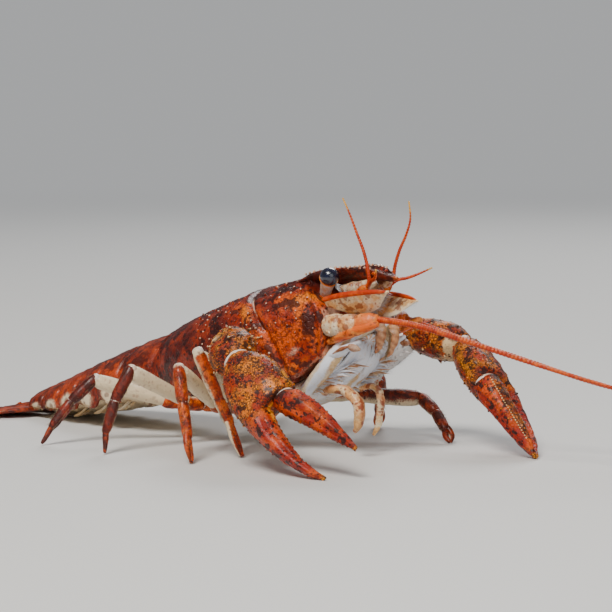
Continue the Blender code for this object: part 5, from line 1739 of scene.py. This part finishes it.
@dataclass
class ClawArm:
    """One claw arm: upper arm, wrist, hand with its fixed finger, and movable finger."""

    palette: Palette
    side: Side
    seed: int = 37
    wrist_granules: int = 60
    granules: int = 130
    palm_teeth: int = 12
    finger_teeth: int = 16
    finger_knobs: int = 9
    finger_dots: int = 26

    # By side: how far round the face that the camera sees is, how white the teeth are, how far round the
    # brown band of the movable finger is, and how many teeth the fixed finger has.
    LOOKS = {Side.RIGHT: (0.25, 0.1, 0.21, 17), Side.LEFT: (0.8, 0.9, 0.83, 12)}
    # How many lengths each part's skin is cut into, and how many sides it has.
    WRIST_STEPS, WRIST_SIDES = 40, 56
    HAND_STEPS, HAND_SIDES = 124, 64
    FINGER_STEPS, FINGER_SIDES = 84, 48

    def __post_init__(self) -> None:
        """Works out the arm's joints and directions."""
        root, elbow, wrist, tip, across, opening = ARMS[self.side]
        self.root, self.elbow, self.wrist, self.tip = (Vector(point) for point in (root, elbow, wrist, tip))
        self.across = Vector(across)
        self.opening = radians(opening)
        self.chance = random.Random(self.seed + self.side.value)
        self.seen, self.white_teeth, self.shade, self.bite = self.LOOKS[self.side]
        self.near = 1.0 - self.white_teeth

    def build(self) -> None:
        """Builds the four parts of the arm."""
        self.build_upper()
        self.build_wrist()
        self.build_hand()
        self.build_finger()

    def build_upper(self) -> None:
        """Builds the upper arm, pale and hairy, with a row of teeth along its lower edge."""
        sign = self.side.value
        hip = Vector((self.root.x + 0.6, sign * 12.4, self.root.z + 0.6))
        piece = Piece(f"upper_arm_{self.side.word}", Slot.CLAW)
        inner = [self.root - Vector((0, sign * 1.2, 0)), self.root.lerp(hip, 0.5), hip]
        piece.skin(tube(inner, ((0.0, 1.9), (0.5, 2.0), (1.0, 2.1)), (1.0, 0.0, 0.2), 16, 24, 0.9),
                   {PALE: 0.9}, rough=((0.08, 1.0),))
        outer = [hip.lerp(self.elbow, share) for share in (-0.06, 0.35, 0.7)] + [self.elbow]
        widths = ((0.0, 1.9), (0.15, 2.2), (0.45, 2.75), (0.75, 2.95), (0.92, 2.75), (1.0, 2.3))
        surface = piece.skin(tube(outer, widths, (1.0, 0.0, 0.2), 40, 40, 0.86, square=0.9), {
            PALE: lambda v, u: 1.0 - 0.9 * climb(v, 0.66, 0.2) * (1 - 0.6 * wrap(u, 0.75, 0.2)),
            GLOW: lambda v, u: 0.8 * hump(v, 0.85, 0.12),
        }, rough=((0.1, 1.1),))
        ahead = (self.elbow - hip).normalized()
        for index, v in enumerate((0.3, 0.38, 0.46, 0.54, 0.62, 0.7, 0.78, 0.86)):
            for turn in (0.02, 0.8):
                here, out = surface.facing(v, turn + 0.02 * (index % 2))
                piece.spine(here, out + ahead * 0.5, 0.7, 0.3, whole=True)
        for v, turn in ((0.82, 0.3), (0.7, 0.27), (0.86, 0.4)):
            here, out = surface.facing(v, turn)
            piece.spine(here, out + ahead * 0.7, 1.0, 0.4)
        for turn in (0.9, 0.0, 0.1, 0.2, 0.3, 0.4, 0.65):
            row = surface.row(turn, 0.05, 0.7)
            piece.fringe(row, surface.facing(0.5, turn)[1] * 0.7 + ahead * 0.9, 1.3, 26, self.chance, 0.3)
        piece.finish([self.palette.arm, self.palette.pale_hair], f"arm_{self.side.word}_upper")

    def build_wrist(self) -> None:
        """Builds the wrist: a furrow on top, spines along the inner edge and pale tubercles."""
        piece = Piece(f"wrist_{self.side.word}", Slot.CLAW)
        heading = (self.wrist - self.elbow).normalized()
        _, out, up = axes(heading, self.across)
        length = (self.wrist - self.elbow).length

        def furrow(share: float, u: float) -> float:
            """The furrow along the side that the camera sees."""
            return -0.45 * wrap(u, self.seen, 0.035) * hump(share, 0.5, 0.28)

        table: Table = ((0.0, 1.9, 1.7), (0.12, 2.9, 2.5), (0.4, 3.7, 3.1), (0.7, 4.0, 3.2), (0.9, 3.4, 2.8),
                        (1.0, 2.4, 2.1))
        rings = []
        for share in shares(self.WRIST_STEPS):
            half, high = smooth(table, share)
            middle = self.elbow + heading * (length * share - 0.6 + 0.6 * share)
            rings.append(oval(middle, out, up, half, half, high, sides=self.WRIST_SIDES, square=0.92,
                              swell=lambda u, share=share: furrow(share, u)))
        surface = piece.skin(domed(rings, 0.7, 0.9), {
            PALE: lambda v, u: 0.3 * wrap(u, self.seen + 0.5, 0.2)
            + 0.6 * wrap(u, self.seen + 0.05, 0.025) * hump(v, 0.42, 0.14) + 0.22 * wrap(u, self.seen, 0.1)
            * sink(v, 0.6, 0.2)
            + 1.3 * self.white_teeth * wrap(u, 0.13, 0.08) * climb(v, 0.76, 0.08),
            GLOW: lambda v, u: 0.75 * wrap(u, self.seen, 0.14) * sink(v, 0.75, 0.3),
            DARK: lambda v, u: 0.3 * wrap(u, self.seen - 0.2, 0.12) + 0.25 * climb(v, 0.7, 0.2),
        }, rough=((0.16, 1.3), (0.07, 0.6)))
        for along, turn, size in ((0.42, 0.02, 1.2), (0.58, 0.97, 1.3), (0.76, 0.03, 1.3), (0.9, 0.0, 1.0),
                                  (0.5, 0.17, 0.9), (0.78, 0.2, 0.9), (0.6, 0.33, 0.8), (0.62, 0.52, 0.8),
                                  (0.4, 0.47, 0.7), (0.82, 0.5, 0.7)):
            here, facing = surface.facing(along, turn)
            piece.spine(here, facing + heading * 0.6, size * 0.85, 0.4, marks={PALE: 0.7, GLOW: 0.5})
        for index in range(self.wrist_granules):
            share = 0.2 + 0.66 * (index + 0.5) / self.wrist_granules
            here, facing = surface.facing(share, index * GOLDEN % 1.0)
            size = self.chance.uniform(0.12, 0.26)
            piece.spine(here, facing, size, size, 0.9,
                        marks={PALE: self.chance.uniform(0.0, 0.4), GLOW: 0.8})
        cuff = self.wrist - heading * 0.7
        piece.skin(tube([cuff, self.wrist + (self.tip - self.wrist).normalized() * 1.5],
                        ((0.0, 2.2), (0.5, 2.3), (1.0, 1.7)), self.across, 10, 30, 0.85), {}, material=1)
        piece.finish([self.palette.claw, self.palette.membrane], f"arm_{self.side.word}_wrist")

    def build_hand(self) -> None:
        """Builds the hand: rough palm, and a ridged fixed finger with its teeth."""
        piece = Piece(f"hand_{self.side.word}", Slot.CLAW)
        forward, out, up = axes(self.tip - self.wrist, self.across)

        def ridges(share: float, u: float) -> float:
            """Two low ridges along the fixed finger, with furrows beside them, and knobbly edges."""
            finger = climb(share, 0.42, 0.1) * sink(share, 1.0, 0.15)
            rise = 0.3 * wrap(u, 0.3, 0.05) - 0.22 * wrap(u, 0.19, 0.035) - 0.16 * wrap(u, 0.41, 0.035)
            below = 0.3 * wrap(u, 0.7, 0.05) - 0.22 * wrap(u, 0.81, 0.035)
            edge = 0.08 * sin(share * 70.0) * (wrap(u, 0.0, 0.05) + 0.6 * wrap(u, 0.5, 0.05)) * (1 - finger)
            return finger * (rise + below) * (1.0 - 0.6 * share) + edge

        rings = []
        for share in shares(self.HAND_STEPS):
            plus, minus, high = palm = smooth(PALM, share)
            if share >= NOTCH - 0.005:
                t = ease((share - NOTCH + 0.005) / 0.03)
                plus, minus, high = (a + (b - a) * t for a, b in zip(palm, smooth(FIXED_FINGER, share)))
            middle = self.wrist + forward * (share * HAND_LENGTH)
            rings.append(oval(middle, out, up, plus, minus, high, sides=self.HAND_SIDES, square=0.9,
                              swell=lambda u, share=share: ridges(share, u)))
        surface = piece.skin(domed(rings, 0.5, 0.35), {
            BLUSH: lambda v, u: 0.95 * climb(v, 0.36, 0.16) * (1 - 0.8 * climb(v, 0.9, 0.1)),
            DARK: lambda v, u: 0.5 * climb(v, 0.45, 0.1) * sink(v, 0.95, 0.3)
            * wrap(u, self.seen - 0.08, 0.04) + 0.6 * hump(v, 0.27, 0.07) * wrap(u, self.seen - 0.1, 0.05)
            + 0.4 * hump(v, 0.12, 0.07) * wrap(u, self.seen, 0.12)
            + 0.35 * wrap(u, self.seen + 0.22, 0.04) * sink(v, 0.6, 0.2),
            GLOW: lambda v, u: (0.35 + 0.35 * self.near) * wrap(u, 0.05, 0.05) * sink(v, 0.42, 0.1)
            + 0.9 * hump(v, 0.46, 0.1) * wrap(u, self.seen - 0.2, 0.03) + 0.35 * wrap(u, self.seen + 0.2, 0.1)
            * sink(v, 0.6, 0.3) + 0.9 * climb(v, 0.94, 0.05),
            PALE: lambda v, u: 0.25 * wrap(u, self.seen + 0.5, 0.18) * sink(v, 0.4, 0.2),
        }, rough=((0.12, 1.4), (0.05, 0.5)))
        for index in range(self.granules):
            here, facing = surface.facing(0.05 + 0.42 * (index + 0.5) / self.granules, index * GOLDEN % 1.0)
            size = self.chance.uniform(0.1, 0.22)
            piece.spine(here, facing + forward * 0.3, size * 1.1, size, 0.9,
                        marks={PALE: self.chance.uniform(0.0, 0.3), GLOW: 0.7})
        for index in range(self.palm_teeth):
            for turn, low, high in ((0.0, 0.08, 0.39), (0.5, 0.08, 0.66)):
                share = low + (high - low) * index / (self.palm_teeth - 1)
                here, facing = surface.facing(share, turn + 0.012 * (-1) ** index)
                piece.spine(here, facing + forward * 0.6, 0.13, 0.22, 1.0, marks={GLOW: 0.6})
        for index in range(self.bite):
            share = 0.45 + 0.5 * index / (self.bite - 1)
            here, facing = surface.facing(share, 0.0)
            size = 0.28 - 0.14 * index / self.bite + (0.12 if index == 6 else 0.0)
            piece.spine(here, facing, size * 0.5, size, 0.9, marks={GLOW: 0.8, PALE: self.white_teeth})
        tip = self.wrist + forward * HAND_LENGTH
        piece.spine(tip - forward * 0.8 - out * 0.1, forward + out * 0.6, 1.25, 0.42, 0.5,
                    marks={GLOW: 0.9}, whole=True)
        piece.finish([self.palette.claw], f"arm_{self.side.word}_hand")

    def build_finger(self) -> None:
        """Builds the movable finger with its hinge skin, ridges and teeth."""
        piece = Piece(f"finger_{self.side.word}", Slot.CLAW)
        forward, out, up = axes(self.tip - self.wrist, self.across)
        along = (forward * cos(self.opening) + out * sin(self.opening)).normalized()
        sideways = (out * cos(self.opening) - forward * sin(self.opening)).normalized()
        hinge = self.wrist + forward * HAND_LENGTH * FINGER_START + out * FINGER_OFFSET

        def ridges(share: float, u: float) -> float:
            """Low ridges along the finger, fading to its tip."""
            fade = climb(share, 0.02, 0.2) * sink(share, 1.02, 0.3)
            rise = 0.26 * wrap(u, 0.22, 0.05) - 0.2 * wrap(u, 0.32, 0.03) - 0.2 * wrap(u, 0.12, 0.03)
            return fade * (rise + 0.26 * wrap(u, 0.78, 0.05) - 0.2 * wrap(u, 0.68, 0.03)
                           - 0.2 * wrap(u, 0.88, 0.03))

        rings = []
        for share in shares(self.FINGER_STEPS):
            plus, minus, high = smooth(FINGER, share)
            turn = out.lerp(sideways, ease(share / 0.1)).normalized()
            middle = hinge + along * (share * FINGER_LENGTH)
            rings.append(oval(middle, turn, up, plus, minus, high, sides=self.FINGER_SIDES, square=0.94,
                              swell=lambda u, share=share: ridges(share, u)))
        surface = piece.skin(domed(rings, 0.6, 0.35), {
            BLUSH: lambda v, u: (0.9 - 0.6 * climb(v, 0.86, 0.12))
            * (1.0 - self.white_teeth * wrap(u, self.shade, 0.08) * sink(v, 0.9, 0.2)),
            PALE: lambda v, u: 0.4 * self.white_teeth * wrap(u, 0.765, 0.02) * sink(v, 0.9, 0.2),
            DARK: lambda v, u: (0.35 + 0.3 * sin(v * 30.0) + 0.4 * self.white_teeth)
            * wrap(u, self.shade, 0.07) * sink(v, 0.85, 0.3) + 0.3 * sink(v, 0.2, 0.2) * self.near,
            GLOW: lambda v, u: 0.5 * wrap(u, 0.0, 0.06) * sink(v, 0.8, 0.3) * self.near
            + 0.6 * climb(v, 0.93, 0.05),
        }, rough=((0.1, 1.2), (0.04, 0.5)))
        for index in range(self.finger_teeth):
            here, facing = surface.facing(0.1 + 0.84 * index / (self.finger_teeth - 1), 0.5)
            size = 0.28 - 0.12 * index / self.finger_teeth + (0.1 if index == 4 else 0.0)
            piece.spine(here, facing, size * 0.5, size, 0.9, marks={GLOW: 0.8, PALE: self.white_teeth})
        for index in range(self.finger_knobs):
            here, facing = surface.facing(0.06 + 0.5 * index / (self.finger_knobs - 1), 0.0)
            piece.spine(here, facing + along * 0.5, 0.12, 0.2, 1.0, marks={GLOW: 0.5})
        tip = hinge + along * FINGER_LENGTH - sideways * 0.8
        piece.spine(tip - along * 0.5, along - sideways * 0.5, 1.1, 0.42, 0.4, marks={GLOW: 0.5}, whole=True)
        base = hinge - along * 0.6
        hinge_skin = [base - forward * 0.9, base + along * 1.2]
        piece.skin(tube(hinge_skin, ((0.0, 1.7), (0.5, 1.9), (1.0, 1.6)), out, 10, 30), {}, material=1)
        if self.side is Side.LEFT:
            for index in range(self.finger_dots):
                here, facing = surface.facing(0.08 + 0.72 * index / (self.finger_dots - 1), 0.905)
                piece.spine(here, facing, 0.1, 0.15, 1.0, whole=True)
        piece.finish([self.palette.claw, self.palette.membrane], f"arm_{self.side.word}_finger")


@dataclass
class WalkingLeg:
    """One walking leg, joint by joint, the first two with a small pincer."""

    palette: Palette
    side: Side
    number: int
    seed: int = 41

    SIZES = (1.0, 0.96, 0.92, 0.9)
    PINCERS = 2
    # How far the prongs of a pincer stand apart, and how far from root to knee the hip is.
    SPREAD = 1.1
    HIP = 0.27
    # From the first leg to the last: how dark each is, how wide its pale strips are, how pale its knee.
    DARKNESS = {Side.RIGHT: (0.12, 0.15, 0.85, 0.7), Side.LEFT: (0.55, 0.15, 0.1, 0.4)}
    STRIPS = {Side.RIGHT: (1.0, 0.2, 0.05, 0.05), Side.LEFT: (0.6, 0.6, 0.6, 0.6)}
    KNEES = {Side.RIGHT: (0.75, 0.4, 0.0, 0.0), Side.LEFT: (0.0, 0.0, 0.0, 0.0)}
    # How far round each leg its inner face and its pale face are.
    INNER = {Side.RIGHT: 0.0, Side.LEFT: 0.5}
    LIGHT = {Side.RIGHT: 0.86, Side.LEFT: 0.25}

    def skins(self, piece: Piece, route: Sequence[Vector], widths: Table, flat: float, dark: float,
              pale: float, cap: float = 0.0, strip: float = 0.2) -> Surface:
        """Adds one joint of the leg.

        Args:
            piece: What it belongs to.
            route: The curve that it follows.
            widths: Its half widths along the curve, for a leg of full size.
            flat: Its half depth as a share of the half width.
            dark: How dark it is.
            pale: How pale its underside is.
            cap: How pale its upper end is.
            strip: How wide the pale underside is, as a share of the way round.

        Returns:
            Its surface.
        """
        size = self.SIZES[self.number]
        sized = [(share, half * size) for share, half in widths]
        steps = max(12, round(2.2 * sum((b - a).length for a, b in zip(route, route[1:]))))
        return piece.skin(tube(route, sized, self.across, steps, 20, flat), {
            DARK: lambda v, u: dark + 0.3 * hump(v, 0.9, 0.07) + 0.2 * sin(v * 19.0 + u * 6.0),
            BLUSH: dark * 1.5,
            GLOW: lambda v, u: 0.5 * hump(v, 0.97, 0.04) + 0.6 * hump(v, 0.08, 0.06),
            PALE: lambda v, u: pale * (wrap(u, self.LIGHT[self.side], strip)
                                       + 0.9 * wrap(u, self.INNER[self.side], 0.7 * strip))
            * (1.0 - 0.6 * climb(v, 0.86, 0.1)) + cap * sink(v, 0.3, 0.16),
        }, rough=((0.07, 1.0),))

    def knuckle(self, piece: Piece, place: Vector, way: Vector, radius: float) -> None:
        """Adds the pale skin that shows at a joint."""
        way = way.normalized()
        route = [place - way * radius * 0.5, place + way * radius * 0.5]
        piece.skin(tube(route, ((0.0, radius), (1.0, radius)), self.across, 5, 14), {}, material=1)

    def build(self) -> None:
        """Builds the leg."""
        root, knee, ankle, toe, foot = (Vector(point) for point in LEGS[self.side][self.number])
        size = self.SIZES[self.number]
        chance = random.Random(self.seed + self.number * 2 + self.side.value)
        hip = root.lerp(knee, self.HIP)
        hip.z = root.z + 0.2
        self.across = (knee - root).cross(UP)
        tables = (self.DARKNESS, self.STRIPS, self.KNEES)
        dark, strip, cap = (table[self.side][self.number] for table in tables)
        thigh = (0.0, 2.0, 0.0, 0.45) if self.side is Side.RIGHT else (dark, 0.9, 0.0, 0.2)
        piece = Piece(f"walker_{self.side.word}_{self.number + 2}", Slot.LEG)
        inside = root - (hip - root).normalized() * 1.4
        self.skins(piece, [inside, root, root.lerp(hip, 0.45)],
                   ((0.0, 1.3), (0.4, 1.5), (0.8, 1.45), (1.0, 1.2)), 1.1, 0.0, 1.0)
        self.skins(piece, [root.lerp(hip, 0.35), hip, hip.lerp(knee, 0.08)],
                   ((0.0, 1.05), (0.5, 1.15), (1.0, 1.0)), 1.1, 0.0, 1.0)
        self.knuckle(piece, root.lerp(hip, 0.42), hip - root, size * 1.15)
        upper = self.skins(piece, [hip.lerp(knee, 0.05), hip.lerp(knee, 0.35), hip.lerp(knee, 0.7), knee],
                           ((0.0, 0.8), (0.1, 1.02), (0.45, 1.22), (0.78, 1.3), (0.93, 1.2), (1.0, 0.95)),
                           1.12, *thigh)
        fold = (knee - root).normalized() - (ankle - knee).normalized()
        over = knee + fold * 0.5
        self.knuckle(piece, knee + fold * 0.25, ankle - knee, size * 0.95)
        carpus = self.skins(piece, [over, knee.lerp(ankle, 0.35) + fold * 0.25, ankle],
                            ((0.0, 0.85), (0.25, 1.08), (0.8, 1.1), (1.0, 0.9)), 1.0, dark, 0.7 * strip,
                            cap, 0.13)
        self.knuckle(piece, ankle, toe - ankle, size * 0.85)
        spread = Vector()
        mid = toe.lerp(foot, 0.6)
        if self.number < self.PINCERS:
            spread = axes(foot - toe, fold)[1] * self.SPREAD
            mid -= spread * 0.25
        shin = self.skins(piece, [ankle, ankle.lerp(toe, 0.5), toe],
                          ((0.0, 0.78), (0.2, 0.98), (0.8, 0.92), (1.0, 0.72)), 1.0, dark, 0.7 * strip,
                          0.0, 0.11)
        tip_width = 0.36 if spread.length else 0.3
        self.skins(piece, [toe, mid, foot + Vector((0, 0, 0.12))],
                   ((0.0, 0.6), (0.5, 0.5), (1.0, tip_width)), 1.0, dark * 0.6, 0.2 * strip)
        if spread.length:
            prong = [ankle.lerp(toe, 0.75) + spread * 0.1, toe + spread * 0.5,
                     toe.lerp(foot, 0.5) + spread * 0.8, toe.lerp(foot, 0.96) + spread * 0.35]
            self.skins(piece, prong, ((0.0, 0.5), (0.35, 0.58), (0.7, 0.44), (1.0, 0.22)), 1.0, dark * 0.6,
                       1.2 * strip, 0.0, 0.17)
        for surface, count, length in ((upper, 14, 0.7), (carpus, 10, 0.7), (shin, 24, 0.9)):
            for turn in (0.75, 0.1, 0.45):
                row = surface.row(turn, 0.2, 0.65, 4)
                way = surface.point(0.8, turn) - surface.point(0.2, turn)
                piece.fringe(row, surface.facing(0.5, turn)[1] + way.normalized(), length, count, chance, 0.3,
                             material=2, radius=0.03)
        nodes = [f"leg_{self.side.word}_{self.number + 2}_{part}" for part in ("upper", "lower")]
        piece.finish([self.palette.leg, self.palette.membrane, self.palette.hair], *nodes)


@dataclass
class StillCamera:
    """The camera at the photo's viewing angle."""

    azimuth: float = radians(43.0)
    elevation: float = radians(5.0)
    distance: float = 420.0
    aim: tuple[float, float, float] = (27.5, 0.0, 23.3)
    pixels_per_mm: float = 6.03
    frame_pixels: float = 612.0
    sensor: float = 36.0
    clip: tuple[float, float] = (0.01, 20.0)

    def build(self) -> None:
        """Makes the camera and gives it to the scene."""
        back = Vector((
            sin(self.azimuth) * cos(self.elevation),
            -cos(self.azimuth) * cos(self.elevation),
            sin(self.elevation),
        ))
        data = bpy.data.cameras.new("view")
        data.sensor_width = self.sensor
        data.lens = self.sensor * self.pixels_per_mm * self.distance / self.frame_pixels
        data.clip_start, data.clip_end = self.clip
        place = LAYOUT.world(Vector(self.aim) + back * self.distance)
        bpy.context.scene.camera = aimed("view", data, place, -back)


@dataclass(frozen=True)
class Lamp:
    """One soft studio light."""

    name: str
    place: tuple[float, float, float]
    size: float
    power: float
    colour: Colour = (1.0, 1.0, 1.0)


@dataclass
class Studio:
    """A plain pale floor and soft light."""

    floor_reach: float = 3.0
    world: Colour = (0.64, 0.65, 0.66)
    ambient: float = 0.27
    shown: float = 0.68
    blend: tuple[float, float] = (0.22, 1.1)
    paint: Colour = (0.72, 0.72, 0.71)
    lit: tuple[float, float, float] = (0.0, 0.0, 0.02)
    lamps: tuple[Lamp, ...] = (
        Lamp("key", (0.12, -0.42, 0.60), 0.3, 5.8, (1.0, 0.96, 0.90)),
        Lamp("fill", (0.75, -0.25, 0.35), 0.6, 1.2, (0.95, 0.98, 1.0)),
        Lamp("rim", (-0.35, 0.6, 0.55), 0.4, 3.2),
    )

    def build(self) -> None:
        """Makes the floor, the surroundings and the lights."""
        mesh = bmesh.new()
        bmesh.ops.create_circle(mesh, cap_ends=True, segments=96, radius=self.floor_reach)
        data = bpy.data.meshes.new("floor")
        mesh.to_mesh(data)
        mesh.free()
        floor = new_object("floor", data)
        material, graph, shader = open_material("floor_paint")
        reach = graph.node("ShaderNodeVectorMath", {0: graph.place()}, operation="LENGTH").outputs["Value"]
        far = graph.ramp(reach, *self.blend)
        seen = graph.node("ShaderNodeLightPath").outputs["Is Camera Ray"]
        graph.feed(shader, {
            "Base Color": graph.mix(far, (*self.paint, 1.0), (0.0, 0.0, 0.0, 1.0)), "Roughness": 0.6,
            "Specular IOR Level": graph.ramp(far, 0.0, 1.0, 0.2, 0.0), "Emission Color": (*self.world, 1.0),
            "Emission Strength": graph.times(far, graph.ramp(seen, 0.0, 1.0, 0.0, self.shown)),
        })
        data.materials.append(material)
        world = bpy.data.worlds.new("studio")
        world.use_nodes = True
        graph = Graph(world.node_tree)
        back = world.node_tree.nodes["Background"]
        seen = graph.node("ShaderNodeLightPath").outputs["Is Camera Ray"]
        strength = graph.ramp(seen, 0.0, 1.0, self.ambient, self.shown)
        graph.feed(back, {"Color": (*self.world, 1.0), "Strength": strength})
        bpy.context.scene.world = world
        for lamp in self.lamps:
            light = bpy.data.lights.new(lamp.name, "AREA")
            light.shape = "DISK"
            light.size, light.energy, light.color = lamp.size, lamp.power, lamp.colour
            place = Vector(lamp.place)
            aimed(lamp.name, light, place, Vector(self.lit) - place)


def main() -> None:
    """Builds the animal, the studio and the camera."""
    logging.basicConfig(level=logging.INFO, format="%(name)s: %(message)s")
    LOG.info("layout moved by %s mm", tuple(round(value, 2) for value in LAYOUT.shift))
    palette = Palette()
    Studio().build()
    StillCamera().build()
    shield = Carapace(palette)
    shield.build()
    Beak(palette, shield).build()
    Underside(palette).build()
    Tail(palette).build()
    TailFan(palette).build()
    Mouth(palette).build()
    for side in Side:
        Eye(palette, side).build()
        ShortFeelers(palette, side).build()
        FeelerBase(palette, side).build()
        LongFeeler(palette, side).build()
        ClawArm(palette, side).build()
        for number in range(4):
            WalkingLeg(palette, side, number).build()


if __name__ == "__main__":
    main()
